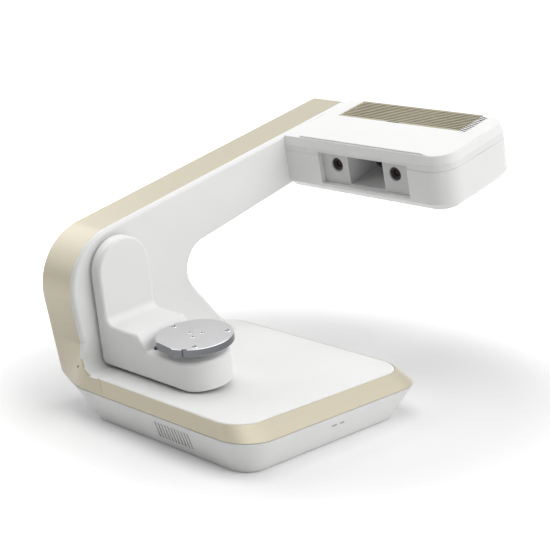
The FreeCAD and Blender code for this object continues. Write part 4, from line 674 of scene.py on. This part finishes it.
class RepeatedShape:
    """A Geometry Nodes tree for a shape that repeats, with named inputs for its sizes."""

    def __init__(self, name: str, sizes: Sequence[str], counts: Sequence[str] = ()) -> None:
        """Starts the tree.

        Args:
            name: Name of the repeated shape.
            sizes: Names of the inputs that are lengths in millimetres.
            counts: Names of the inputs that are whole numbers.
        """
        self.tree = bpy.data.node_groups.new(name, "GeometryNodeTree")
        self.tree.is_modifier = True
        face = self.tree.interface
        face.new_socket("Points", in_out="INPUT", socket_type="NodeSocketGeometry")
        for label in sizes:
            face.new_socket(label, in_out="INPUT", socket_type="NodeSocketFloat")
        for label in counts:
            face.new_socket(label, in_out="INPUT", socket_type="NodeSocketInt")
        face.new_socket("Finish", in_out="INPUT", socket_type="NodeSocketMaterial")
        face.new_socket("Mesh", in_out="OUTPUT", socket_type="NodeSocketGeometry")
        self.given = add_node(self.tree, "NodeGroupInput").outputs

    def add(self, kind: str, inputs: dict | None = None, **settings: object) -> bpy.types.Node:
        """Adds a node to the shape's tree."""
        return add_node(self.tree, kind, inputs, **settings)

    def combine(self, operation: str, *values: bpy.types.NodeSocket | float) -> bpy.types.NodeSocket:
        """Joins two values by one operation."""
        return self.add("ShaderNodeMath", dict(enumerate(values)), operation=operation).outputs["Value"]

    def vector(self, **parts: bpy.types.NodeSocket) -> bpy.types.NodeSocket:
        """Joins values, named by axis, to one vector."""
        return self.add("ShaderNodeCombineXYZ", parts).outputs["Vector"]

    def prism(self, sides: int, bottom: bpy.types.NodeSocket, top: bpy.types.NodeSocket,
              height: bpy.types.NodeSocket) -> bpy.types.NodeSocket:
        """Makes a closed prism or blunt cone that stands on zero.

        Args:
            sides: Number of faces round it.
            bottom: Radius at its foot.
            top: Radius at its top.
            height: Its height.

        Returns:
            The shape.
        """
        made = self.add("GeometryNodeMeshCone", {"Vertices": sides, "Radius Bottom": bottom, "Radius Top": top,
                                                 "Depth": height})
        return made.outputs["Mesh"]

    def moved(self, shape: bpy.types.NodeSocket, by: bpy.types.NodeSocket,
              turn: tuple[float, float, float] = (0.0, 0.0, 0.0)) -> bpy.types.NodeSocket:
        """Turns a shape about zero and then moves it.

        Args:
            shape: What moves.
            by: How far it moves.
            turn: Angles about X, Y and Z, in radians.

        Returns:
            The moved shape.
        """
        made = self.add("GeometryNodeTransform", {"Geometry": shape, "Translation": by, "Rotation": turn})
        return made.outputs["Geometry"]

    def solid(self, operation: str, first: bpy.types.NodeSocket, second: bpy.types.NodeSocket) -> bpy.types.NodeSocket:
        """Joins two closed shapes, keeps what they share or cuts the second out of the first.

        Args:
            operation: UNION, INTERSECT or DIFFERENCE.
            first: Shape that is kept or cut.
            second: The other shape.

        Returns:
            The resulting shape.
        """
        cut = operation == "DIFFERENCE"
        inputs = {"Mesh 1": first, "Mesh 2": [second]} if cut else {"Mesh 2": [first, second]}
        made = self.add("GeometryNodeMeshBoolean", inputs, operation=operation, solver="EXACT")
        return made.outputs["Mesh"]

    def end(self, shape: bpy.types.NodeSocket) -> None:
        """Sets the shape at every point, makes the copies real and gives them their finish.

        Args:
            shape: The one shape that repeats.
        """
        spread = self.add("GeometryNodeInstanceOnPoints", {"Points": self.given["Points"], "Instance": shape})
        real = self.add("GeometryNodeRealizeInstances", {"Geometry": spread.outputs["Instances"]})
        done = self.add("GeometryNodeSetMaterial", {"Geometry": real.outputs["Geometry"],
                                                    "Material": self.given["Finish"]})
        self.add("NodeGroupOutput", {"Mesh": done.outputs["Geometry"]})

    def grow(self, name: str, points: Sequence[tuple[float, float, float]], sizes: dict[str, float | int],
             finish: object, place: Matrix) -> bpy.types.Object:
        """Grows the shape on points and keeps it as a plain mesh.

        Args:
            name: Name of the new object.
            points: Where the shape stands, in drawing millimetres.
            sizes: Values of the tree's inputs, by name.
            finish: What the shape is made of.
            place: Turn and move from drawing millimetres to the frame.

        Returns:
            The new object, at the origin, with no modifier left.
        """
        mesh = bpy.data.meshes.new(name)
        mesh.from_pydata([tuple(point) for point in points], [], [])
        made = object_from(name, mesh)
        modifier = made.modifiers.new("repeat", "NODES")
        modifier.node_group = self.tree
        values = {**sizes, "Finish": palette.get(finish)}
        for item in self.tree.interface.items_tree:
            if item.in_out == "INPUT" and item.name in values:
                modifier[item.identifier] = values[item.name]
        applied(made)
        made.data.transform(place)
        made.data.update()
        smooth(made.data)
        return made


class ScrewShape(RepeatedShape):
    """Socket screw: eased head that stands on the point, and a shank below it."""

    def __init__(self) -> None:
        """Builds the tree."""
        super().__init__("socket_screw", ("Head Radius", "Head Height", "Head Ease", "Shank Radius", "Shank Length",
                                          "Socket Radius", "Socket Depth"))
        given = self.given
        radius, height = given["Head Radius"], given["Head Height"]
        narrow = self.combine("SUBTRACT", radius, given["Head Ease"])
        wide = self.combine("ADD", narrow, height)
        head = self.solid("INTERSECT", self.prism(HEAD_SIDES, radius, radius, height),
                          self.prism(HEAD_SIDES, wide, narrow, height))
        middle = self.combine("MULTIPLY", height, 0.5)
        length = self.combine("ADD", given["Shank Length"], middle)
        shank = self.prism(SHANK_SIDES, given["Shank Radius"], given["Shank Radius"], length)
        screw = self.solid("UNION", head, self.moved(shank, self.vector(Z=middle), (math.pi, 0.0, 0.0)))
        twice = self.combine("MULTIPLY", given["Socket Depth"], 2.0)
        key = self.prism(KEY_SIDES, given["Socket Radius"], given["Socket Radius"], twice)
        floor = self.combine("SUBTRACT", height, given["Socket Depth"])
        self.end(self.solid("DIFFERENCE", screw, self.moved(key, self.vector(Z=floor))))


class SlatShape(RepeatedShape):
    """Row of rounded slats that starts on the point, each slat along X and the row along Y."""

    def __init__(self) -> None:
        """Builds the tree."""
        super().__init__("slat_row", ("Slat Length", "Slat Width", "Slat Height", "Edge Radius", "Pitch"), ("Count",))
        given = self.given
        section = self.add("GeometryNodeCurvePrimitiveQuadrilateral", {"Width": given["Slat Width"],
                                                                       "Height": given["Slat Height"]})
        turned = self.add("GeometryNodeFilletCurve", {"Curve": section.outputs["Curve"], "Count": 3,
                                                      "Radius": given["Edge Radius"], "Limit Radius": True},
                          mode="POLY")
        line = self.add("GeometryNodeCurvePrimitiveLine", {"End": self.vector(X=given["Slat Length"])})
        slat = self.add("GeometryNodeCurveToMesh", {"Curve": line.outputs["Curve"],
                                                    "Profile Curve": turned.outputs["Curve"], "Fill Caps": True})
        row = self.add("GeometryNodeMeshLine", {"Count": given["Count"], "Offset": self.vector(Y=given["Pitch"])})
        slats = self.add("GeometryNodeInstanceOnPoints", {"Points": row.outputs["Mesh"],
                                                          "Instance": slat.outputs["Mesh"]})
        self.end(slats.outputs["Instances"])


class KeyedCapShape(RepeatedShape):
    """Thin round cap with holes in a ring, standing on the point."""

    def __init__(self) -> None:
        """Builds the tree."""
        super().__init__("keyed_cap", ("Cap Radius", "Cap Height", "Cap Ease", "Hole Radius", "Hole Circle"),
                         ("Hole Count",))
        given = self.given
        narrow = self.combine("SUBTRACT", given["Cap Radius"], given["Cap Ease"])
        cap = self.prism(HEAD_SIDES, given["Cap Radius"], narrow, given["Cap Height"])
        ring = self.add("GeometryNodeMeshCircle", {"Vertices": given["Hole Count"], "Radius": given["Hole Circle"]})
        tall = self.combine("MULTIPLY", given["Cap Height"], 4.0)
        drill = self.add("GeometryNodeMeshCylinder", {"Vertices": HOLE_SIDES, "Radius": given["Hole Radius"],
                                                      "Depth": tall})
        drills = self.add("GeometryNodeInstanceOnPoints", {"Points": ring.outputs["Mesh"],
                                                           "Instance": drill.outputs["Mesh"]})
        real = self.add("GeometryNodeRealizeInstances", {"Geometry": drills.outputs["Instances"]})
        self.end(self.solid("DIFFERENCE", cap, real.outputs["Geometry"]))


@dataclass(frozen=True)
class EasedPart:
    """A CAD node shown as a copy with its curved faces smooth and its small stray facets hidden."""

    node: str
    finish: object
    slot: str
    body: BodyName = BodyName.BASE
    speck_mm2: float = 0.1

    def build(self) -> bpy.types.Object:
        """Makes the copy and stands it in the node's place.

        Returns:
            The new object.
        """
        name = self.node + "_finished"
        made = shown_copy(self.node, name, self.speck_mm2)
        return Piece(name, self.body, self.finish, self.slot, (self.node,)).place(made)


@dataclass(frozen=True)
class SocketScrew:
    """Sizes of a socket screw in millimetres."""

    head_radius: float
    head_height: float
    shank_radius: float
    shank_length: float
    ease: float = 0.35
    socket_share: float = 0.62
    depth_share: float = 0.65

    def sizes(self) -> dict[str, float | int]:
        """Values for the inputs of the screw's tree.

        Returns:
            Millimetres by input name.
        """
        return {"Head Radius": self.head_radius, "Head Height": self.head_height, "Head Ease": self.ease,
                "Shank Radius": self.shank_radius, "Shank Length": self.shank_length,
                "Socket Radius": self.socket_share * self.shank_radius,
                "Socket Depth": self.depth_share * self.head_height}


@dataclass
class Base:
    """Tapered base: tub, gold band, white top, pads, lights and rear ports."""

    screws: ScrewShape
    post_places: tuple[tuple[float, float], ...] = ((62.0, 42.3), (218.3, 42.3), (218.3, 179.0), (62.0, 179.0))
    post_screw: SocketScrew = SocketScrew(3.0, 2.0, 1.7, 17.0)
    bolt_x: float = 40.0
    bolt_ys: tuple[float, ...] = (58.13, 107.2, 156.27)
    bolt_seat_z: float = 23.0
    bolt: SocketScrew = SocketScrew(3.0, 2.0, 1.7, 4.0)

    def build(self) -> None:
        """Dresses the base's outer pieces and what the port pocket shows."""
        for part in (EasedPart("base_tub", WHITE_ABS, "white_abs"),
                     EasedPart("base_band", CHAMPAGNE, "champagne_aluminium"),
                     EasedPart("base_cover", WHITE_ABS, "white_abs"),
                     EasedPart("rubber_feet", BLACK_RUBBER, "black_rubber"),
                     EasedPart("status_lights", LIGHT_PIPE, "clear_light"),
                     EasedPart("rear_panel", BLACK_ABS, "dark_plastic"),
                     EasedPart("power_inlet", BLACK_ABS, "dark_plastic"),
                     EasedPart("usb_port", NICKEL, "nickel_socket"),
                     EasedPart("switch_frame", BLACK_ABS, "dark_plastic"),
                     EasedPart("switch_rocker", BLACK_ABS, "dark_plastic", BodyName.SWITCH)):
            part.build()
        for node, finish in (("chassis_plate", ZINC), ("main_board", BOARD)):
            dress(node, finish)
        self._post_screws()
        self._bolts()

    def _post_screws(self) -> None:
        """Screws from below into the tub's posts, their heads down."""
        over = Matrix.Translation((0, 0, self.post_screw.head_height)) @ Matrix.Rotation(math.pi, 4, "X")
        points = [(x, -y, 0.0) for x, y in self.post_places]
        made = self.screws.grow("post_screws", points, self.post_screw.sizes(), SCREW_STEEL,
                                Axes.LEVEL.matrix() @ over)
        Piece("post_screws", BodyName.BASE, SCREW_STEEL, "screw_steel", ("chassis_screws",)).place(made)

    def _bolts(self) -> None:
        """Bolts through the foot of the slab's frame."""
        points = [(self.bolt_x, y, self.bolt_seat_z) for y in self.bolt_ys]
        made = self.screws.grow("foot_bolts", points, self.bolt.sizes(), SCREW_STEEL, Axes.LEVEL.matrix())
        Piece("foot_bolts", BodyName.BASE, SCREW_STEEL, "screw_steel", ("frame_bolts",)).place(made)


@dataclass
class Slab:
    """Side slab: gold ribbon, two white shells and the tilt drive inside."""

    screws: ScrewShape
    boss_places: tuple[tuple[float, float], ...] = ((83.58, 149.87), (194.34, 178.78), (305.11, 207.7),
                                                    (81.2, 51.75), (133.2, 51.75))
    shell_screw: SocketScrew = SocketScrew(3.0, 1.9, 1.6, 26.9)
    shell_screw_seat_x: float = 2.1

    def build(self) -> None:
        """Dresses the ribbon, the shells and the inner pieces."""
        for part in (EasedPart("slab_ribbon", CHAMPAGNE, "champagne_aluminium", speck_mm2=6.0),
                     EasedPart("slab_shell_left", WHITE_ABS, "white_abs"),
                     EasedPart("slab_shell_right", WHITE_ABS, "white_abs")):
            part.build()
        for node, finish in (("slab_frame", BLASTED), ("tilt_bearings", GROUND_STEEL), ("tilt_motor", MOTOR_CASE_AND_SOCKET_SHADE),
                             ("tilt_belt", BLACK_RUBBER), ("motor_pulley", BLASTED)):
            dress(node, finish)
        self._shell_screws()

    def _shell_screws(self) -> None:
        """Screws in the slab's outer side, their heads to the left."""
        turn = Matrix.Translation((self.shell_screw_seat_x, 0, 0)) @ Matrix.Rotation(-math.pi / 2, 4, "Y")
        points = [(z, y, 0.0) for y, z in self.boss_places]
        made = self.screws.grow("side_screws", points, self.shell_screw.sizes(), SCREW_STEEL,
                                Axes.LEVEL.matrix() @ turn)
        Piece("side_screws", BodyName.BASE, SCREW_STEEL, "screw_steel", ("shell_screws",)).place(made)


@dataclass
class SwingArm:
    """White L-shaped arm with its shaft, cover and index pin."""

    pin_place: tuple[float, float, float] = (110.92, 46.72, 64.51)
    pin_profile: Profile = ((0.0, 2.5), (0.9, 2.35), (1.5, 1.8), (1.75, 1.0), (1.78, 0.0), (1.78, -2.4), (0.0, -2.4))

    def build(self) -> None:
        """Dresses the arm's shell and what rides with it."""
        for part in (EasedPart("swing_shell", WHITE_ABS, "white_abs", BodyName.SWING_ARM),
                     EasedPart("swing_cover", BLACK_ABS, "dark_plastic", BodyName.SWING_ARM)):
            part.build()
        for node, finish in (("tilt_shaft", GROUND_STEEL), ("tilt_pulley", BLASTED),
                             ("turntable_bearing", GROUND_STEEL), ("turntable_motor", MOTOR_CASE_AND_SOCKET_SHADE)):
            dress(node, finish)
        pin = lathe("domed_pin", self.pin_profile, Axes.SWING, Vector(self.pin_place), Vector((0, 0, 1)), 32)
        Piece("domed_pin", BodyName.SWING_ARM, BLACK_ABS, "dark_plastic", ("index_pin",)).place(pin)


@dataclass
class Turntable:
    """Steel disc on its spindle, with screws and latch studs."""

    screws: ScrewShape
    caps: KeyedCapShape
    face_w: float = 79.21
    screw_places: tuple[tuple[float, float], ...] = ((136.6, 65.5), (145.9, 70.87), (145.9, 60.13))
    screw_seat_depth: float = 1.5
    screw: SocketScrew = SocketScrew(2.35, 1.7, 1.48, 8.5, 0.35)
    stud_places: tuple[tuple[float, float], ...] = ((114.35, 67.19), (162.2, 86.38), (163.51, 45.92))
    stud_radius: float = 2.7
    stud_cap: float = 0.35
    stud_hole_radius: float = 0.95
    stud_hole_circle: float = 1.45
    rim_limit: float = 0.5
    socket_limit: float = 0.65
    socket_lip: float = 0.05

    def build(self) -> None:
        """Dresses the disc and its fasteners."""
        disc = EasedPart("turntable_disc", STEEL_FACE, "turned_steel", BodyName.TURNTABLE).build()
        self._paint_rim_reflection(disc)
        for part in (EasedPart("turntable_spindle", GROUND_STEEL, "bearing_steel", BodyName.TURNTABLE),
                     EasedPart("rim_studs", BLACK_ABS, "dark_plastic", BodyName.TURNTABLE)):
            part.build()
        seats = [(x, y, self.face_w - self.screw_seat_depth) for x, y in self.screw_places]
        made = self.screws.grow("face_screws", seats, self.screw.sizes(), SCREW_STEEL, Axes.SWING.matrix())
        Piece("face_screws", BodyName.TURNTABLE, SCREW_STEEL, "screw_steel", ("disc_screws",)).place(made)
        self._paint_socket_shade(made)
        tops = [(x, y, self.face_w) for x, y in self.stud_places]
        sizes = {"Cap Radius": self.stud_radius, "Cap Height": self.stud_cap, "Cap Ease": 0.5 * self.stud_cap,
                 "Hole Radius": self.stud_hole_radius, "Hole Circle": self.stud_hole_circle, "Hole Count": 3}
        caps = self.caps.grow("stud_caps", tops, sizes, SCREW_STEEL, Axes.SWING.matrix())
        Piece("stud_caps", BodyName.TURNTABLE, SCREW_STEEL, "screw_steel").place(caps)

    def _paint_socket_shade(self, made: bpy.types.Object) -> None:
        """Paints shade into the screws' sockets: their faces take the blackened steel, which stands in for the shade
        inside them.

        Args:
            made: All the face screws.
        """
        # Painted shade: the socket faces get the dark blackened steel so that they read as shaded hollows.
        made.data.materials.append(palette.get(MOTOR_CASE_AND_SOCKET_SHADE))
        back = Axes.SWING.matrix().inverted()
        top = self.face_w - self.screw_seat_depth + self.screw.head_height
        for face in made.data.polygons:
            x, y, w = back @ face.center
            reach = min(math.hypot(x - px, y - py) for px, py in self.screw_places)
            inside = reach < self.socket_limit * self.screw.shank_radius
            if inside and self.socket_lip < top - w < self.screw.head_height:
                face.material_index = 1

    def _paint_rim_reflection(self, disc: bpy.types.Object) -> None:
        """Paints a darker copy of the disc's steel on its rim, standing in for the dark reflections that a polished
        rim shows.

        Args:
            disc: The disc, with the face's finish all over.
        """
        # Painted reflection: faces of the rim take the darker steel.
        disc.data.materials.append(palette.get(STEEL_RIM_PAINTED_REFLECTION))
        up = (Axes.SWING.matrix().to_3x3() @ Vector((0, 0, 1))).normalized()
        for face in disc.data.polygons:
            if abs(face.normal.dot(up)) < self.rim_limit:
                face.material_index = 1


@dataclass
class Head:
    """Camera head: two shells, grille, window, cameras and projector."""

    slats: SlatShape
    top_n: float = 151.0
    outlet_start: tuple[float, float] = (63.7, 379.0)
    outlet_end_x: float = 213.0
    outlet_depth: float = 42.35
    slat_count: int = 11
    slat_width: float = 1.6
    slat_height: float = 0.9
    tooth_count: int = 12
    tooth_length: float = 8.2
    tooth_width: float = 1.6
    tooth_height: float = 0.7
    ramp_angle: float = 10.1
    rail_width: float = 1.0
    rail_height: float = 1.4
    rail_gap: float = 1.1
    rail_trim: float = 0.1
    slat_sink: float = 0.15
    row_lead: float = 0.3
    edge_share: float = 0.2
    bar_lead: float = 0.2
    bar_drop: float = 0.8
    # Sizes of a black bar that is painted shade for a slot in the front rail gap, not a real latch.
    slot_shade_height: float = 1.2
    slot_shade_sink: float = 0.3
    slot_shade_share: float = 0.9
    grille_slot: str = "champagne_plastic"
    slot_shade_x: float = 128.0
    slot_shade_length: float = 14.0
    bar_count: int = 4
    camera_places: tuple[float, float] = (106.8, 178.8)
    camera_n: float = 125.3
    barrel_face_s: float = 322.5
    stack_profile: Profile = ((5.12, -0.35), (4.8, -0.35), (4.75, -1.1), (4.3, -1.15), (4.25, -1.9), (3.8, -1.95),
                              (3.75, -2.8), (5.12, -2.8))
    glass_profile: Profile = ((0.0, -2.0), (1.4, -2.1), (2.6, -2.4), (3.7, -2.8), (3.7, -3.3), (0.0, -3.3))

    def build(self) -> None:
        """Dresses the head's outer pieces and its optics."""
        for part in (EasedPart("head_shell", WHITE_ABS, "white_abs"),
                     EasedPart("head_cover", WHITE_ABS, "white_abs"),
                     EasedPart("window_bezel", WHITE_ABS, "white_abs"),
                     # The camera plates' darker grey is partly their plastic and partly painted recess shade.
                     EasedPart("camera_plate_left", PLATE_ABS_WITH_RECESS_SHADE, "white_abs"),
                     EasedPart("camera_plate_right", PLATE_ABS_WITH_RECESS_SHADE, "white_abs"),
                     EasedPart("camera_left", BLACK_ABS, "dark_plastic"),
                     EasedPart("camera_right", BLACK_ABS, "dark_plastic"),
                     EasedPart("projector_bay", INNER_ABS, "white_abs"),
                     EasedPart("projector", BLACK_ABS, "dark_plastic"),
                     EasedPart("projector_lens", LENS_DARK, "coated_glass")):
            part.build()
        for node, finish in (("optics_bench", BLASTED), ("fan_frame", BLACK_ABS), ("fan_rotor", BLACK_ABS),
                             ("heat_sink", BLASTED), ("head_board", BOARD)):
            dress(node, finish)
        self._grille()
        for side, x in zip(("left", "right"), self.camera_places):
            self._lens(side, x)

    def _row(self, name: str, finish: object, place: Matrix, count: int, pitch: float,
             size: tuple[float, float, float]) -> None:
        """Grows one row of slats and puts it in the head's outlet.

        Args:
            name: Name of the row.
            finish: What the slats are made of.
            place: Where the row starts, in the head's drawing millimetres.
            count: Number of slats.
            pitch: Distance between slats.
            size: Length, width and height of one slat.
        """
        sizes = {"Slat Length": size[0], "Slat Width": size[1], "Slat Height": size[2],
                 "Edge Radius": self.edge_share * min(size[1], size[2]), "Pitch": pitch, "Count": count}
        made = self.slats.grow(name, [(0.0, 0.0, 0.0)], sizes, finish, Axes.ARM.matrix() @ place)
        Piece(name, BodyName.BASE, finish, self.grille_slot, ("head_grille",)).place(made)

    def _grille(self) -> None:
        """Air outlet: champagne rails, slats and the bars below in a darker champagne that paints the shade between
        them, and white teeth on the ramp.
        """
        x0, s0 = self.outlet_start
        length = self.outlet_end_x - x0
        middle = self.top_n - self.slat_height / 2 - self.slat_sink
        pitch = (self.outlet_depth - 2 * self.rail_gap) / self.slat_count
        start = Matrix.Translation((x0, s0 + self.rail_gap + pitch / 2 + self.row_lead, middle))
        self._row("outlet_slats", GRILLE_COAT_SHADED, start, self.slat_count, pitch,
                  (length, self.slat_width, self.slat_height))
        rail = Matrix.Translation((x0, s0 + self.rail_gap, self.top_n - self.rail_height / 2))
        self._row("outlet_rails", CHAMPAGNE, rail, 2,
                  self.outlet_depth - self.rail_gap - self.rail_width / 2 - self.rail_trim,
                  (length, self.rail_width, self.rail_height))
        tooth_pitch = self.outlet_depth / self.tooth_count
        ramp = Matrix.Translation((self.outlet_end_x + self.row_lead, s0 + tooth_pitch / 2, middle))
        ramp = ramp @ Matrix.Rotation(math.radians(self.ramp_angle), 4, "Y")
        self._row("outlet_teeth", WHITE_ABS, ramp, self.tooth_count, tooth_pitch,
                  (self.tooth_length, self.tooth_width, self.tooth_height))
        # Painted shade: a black bar in the front gap stands in for the shade of a slot in the rail.
        latch = Matrix.Translation((self.slot_shade_x, s0 + self.rail_gap / 2, self.top_n - self.slot_shade_sink))
        self._row("outlet_slot_shade", BLACK_ABS, latch, 1, 0.0,
                  (self.slot_shade_length, self.slot_shade_share * self.rail_gap, self.slot_shade_height))
        low = self.top_n - self.slat_height - self.bar_drop
        across = Matrix.Translation((self.outlet_end_x, s0 + self.bar_lead, low))
        across = across @ Matrix.Rotation(math.pi / 2, 4, "Z")
        self._row("outlet_bars", GRILLE_COAT_SHADED, across, self.bar_count,
                  (length - self.slat_width) / (self.bar_count - 1),
                  (self.outlet_depth - 2 * self.bar_lead, self.slat_width, self.slat_height))

    def _lens(self, side: str, x: float) -> None:
        """Stepped black rings and domed coated glass inside one camera barrel.

        Args:
            side: Left or right, for the pieces' names.
            x: Place of the camera's axis.
        """
        face = Vector((x, self.barrel_face_s, self.camera_n))
        front = Vector((0, -1, 0))
        rings = lathe("lens_rings_" + side, self.stack_profile, Axes.ARM, face, front, 64)
        Piece("lens_rings_" + side, BodyName.BASE, BLACK_ABS, "dark_plastic").place(rings)
        glass = lathe("lens_glass_" + side, self.glass_profile, Axes.ARM, face, front, 64)
        Piece("lens_glass_" + side, BodyName.BASE, LENS_RED, "coated_glass", ("lens_" + side,)).place(glass)


@dataclass
class Studio:
    """Plain pale floor, soft lights and the camera at the photograph's view."""

    camera_place: tuple[float, float, float] = (950.39, -691.84, 428.34)
    azimuth: float = 43.66
    elevation: float = 14.72
    roll: float = 0.26
    focal_px: float = 1332.03
    image_px: float = 550.0
    sensor_mm: float = 36.0
    floor_size: float = 24.0
    surround: float = 0.02
    paper: float = 0.8
    paper_lift: float = 0.12
    rise_start: float = 0.2
    rise_end: float = 0.5
    aim_height: float = 0.12
    clip: tuple[float, float] = (0.05, 50.0)
    lamps: tuple[tuple[str, tuple[float, float, float], tuple[float, float], float], ...] = (
        ("top_lamp", (0.0, 0.0, 1.8), (1.5, 1.5), 17.0),
        ("left_lamp", (-1.3, -0.1, 1.1), (1.2, 1.2), 9.0),
        ("right_lamp", (1.5, 0.1, 1.1), (1.2, 1.2), 13.0),
        ("back_lamp", (1.0, 0.9, 1.0), (1.0, 1.0), 6.0),
        ("left_front_lamp", (-0.9, -1.0, 0.8), (0.8, 0.8), 3.0))

    def build(self) -> None:
        """Makes the camera, the world, the floor and the lamps."""
        self._camera()
        self._world()
        self._floor()
        self._lamps()
        bpy.context.scene.view_settings.view_transform = "Standard"

    def _camera(self) -> None:
        """Puts the camera where the photograph was taken from."""
        data = bpy.data.cameras.new("photo_camera")
        data.sensor_width = self.sensor_mm
        data.lens = self.sensor_mm * self.focal_px / self.image_px
        data.clip_start, data.clip_end = self.clip
        made = bpy.data.objects.new("photo_camera", data)
        bpy.context.scene.collection.objects.link(made)
        a, e, r = (math.radians(x) for x in (self.azimuth, self.elevation, self.roll))
        back = Vector((math.sin(a) * math.cos(e), -math.cos(a) * math.cos(e), math.sin(e)))
        right = (-back).cross(Vector((0, 0, 1))).normalized()
        up = right.cross(-back)
        side = right * math.cos(r) + up * math.sin(r)
        top = up * math.cos(r) - right * math.sin(r)
        turn = Matrix((side, top, back)).transposed().to_4x4()
        place = (Vector(self.camera_place) + DRAWING_ORIGIN) * MM
        made.matrix_world = Matrix.Translation(place) @ turn
        bpy.context.scene.camera = made

    @staticmethod
    def _seen_directly(tree: bpy.types.NodeTree) -> bpy.types.Node:
        """One for rays from the camera, from a mirror or through glass, and nought for diffuse light.

        Args:
            tree: Tree of the world or of the floor.

        Returns:
            The node whose value says so.
        """
        path = add_node(tree, "ShaderNodeLightPath")
        mirror = add_node(tree, "ShaderNodeMath", {0: path.outputs["Is Glossy Ray"],
                                                   1: path.outputs["Is Transmission Ray"]}, operation="MAXIMUM")
        return add_node(tree, "ShaderNodeMath", {0: path.outputs["Is Camera Ray"], 1: mirror.outputs["Value"]},
                        operation="MAXIMUM")

    def _world(self) -> None:
        """White surroundings to the eye, to metal and to glass; a plain soft level for light."""
        world = bpy.data.worlds.new("studio")
        world.use_nodes = True
        tree = world.node_tree
        tree.nodes.clear()
        seen = self._seen_directly(tree)
        strength = add_node(tree, "ShaderNodeMapRange", {"Value": seen.outputs["Value"],
                                                         "To Min": self.surround, "To Max": 1.0})
        glow = add_node(tree, "ShaderNodeBackground", {"Color": (1.0, 1.0, 1.0, 1.0),
                                                       "Strength": strength.outputs["Result"]})
        add_node(tree, "ShaderNodeOutputWorld", {"Surface": glow.outputs["Background"]})
        bpy.context.scene.world = world

    def _floor(self) -> None:
        """Pale seamless floor that keeps the object's shadow."""
        work = bmesh.new()
        bmesh.ops.create_grid(work, x_segments=1, y_segments=1, size=self.floor_size / 2)
        mesh = bpy.data.meshes.new("floor")
        work.to_mesh(mesh)
        work.free()
        made = object_from("floor", mesh)
        material = bpy.data.materials.new("white_paper_sweep")
        material.use_nodes = True
        tree = material.node_tree
        tree.nodes.clear()
        seen = self._seen_directly(tree)
        place = add_node(tree, "ShaderNodeTexCoord").outputs["Object"]
        radius = add_node(tree, "ShaderNodeVectorMath", {0: place}, operation="LENGTH")
        rise = add_node(tree, "ShaderNodeMapRange", {"Value": radius.outputs["Value"],
                                                     "From Min": self.rise_start, "From Max": self.rise_end,
                                                     "To Min": self.paper_lift, "To Max": 1.0},
                        interpolation_type="SMOOTHSTEP")
        lift = add_node(tree, "ShaderNodeMath", {0: seen.outputs["Value"], 1: rise.outputs["Result"]},
                        operation="MULTIPLY")
        paper = add_node(tree, "ShaderNodeBsdfDiffuse", {"Color": (self.paper, self.paper, self.paper, 1.0)})
        glow = add_node(tree, "ShaderNodeEmission", {"Color": (1.0, 1.0, 1.0, 1.0), "Strength": lift.outputs["Value"]})
        both = add_node(tree, "ShaderNodeAddShader", {0: paper.outputs["BSDF"], 1: glow.outputs["Emission"]})
        add_node(tree, "ShaderNodeOutputMaterial", {"Surface": both.outputs["Shader"]})
        made.data.materials.append(material)

    def _lamps(self) -> None:
        """Large soft lamps, each aimed at the middle of the object."""
        for name, place, size, watts in self.lamps:
            data = bpy.data.lights.new(name, "AREA")
            data.shape = "RECTANGLE"
            data.size, data.size_y = size
            data.energy = watts
            made = bpy.data.objects.new(name, data)
            bpy.context.scene.collection.objects.link(made)
            aim = Vector((0, 0, self.aim_height)) - Vector(place)
            made.matrix_world = Matrix.Translation(place) @ aim.to_track_quat("-Z", "Y").to_matrix().to_4x4()


def main() -> None:
    """Builds the studio and each sub-assembly in order."""
    logging.basicConfig(level=logging.INFO, format="%(name)s %(message)s")
    screws = ScrewShape()
    for part in (Studio(), Base(screws), Slab(screws), SwingArm(), Turntable(screws, KeyedCapShape()),
                 Head(SlatShape())):
        log.info("building %s", type(part).__name__)
        part.build()


if __name__ == "__main__":
    main()
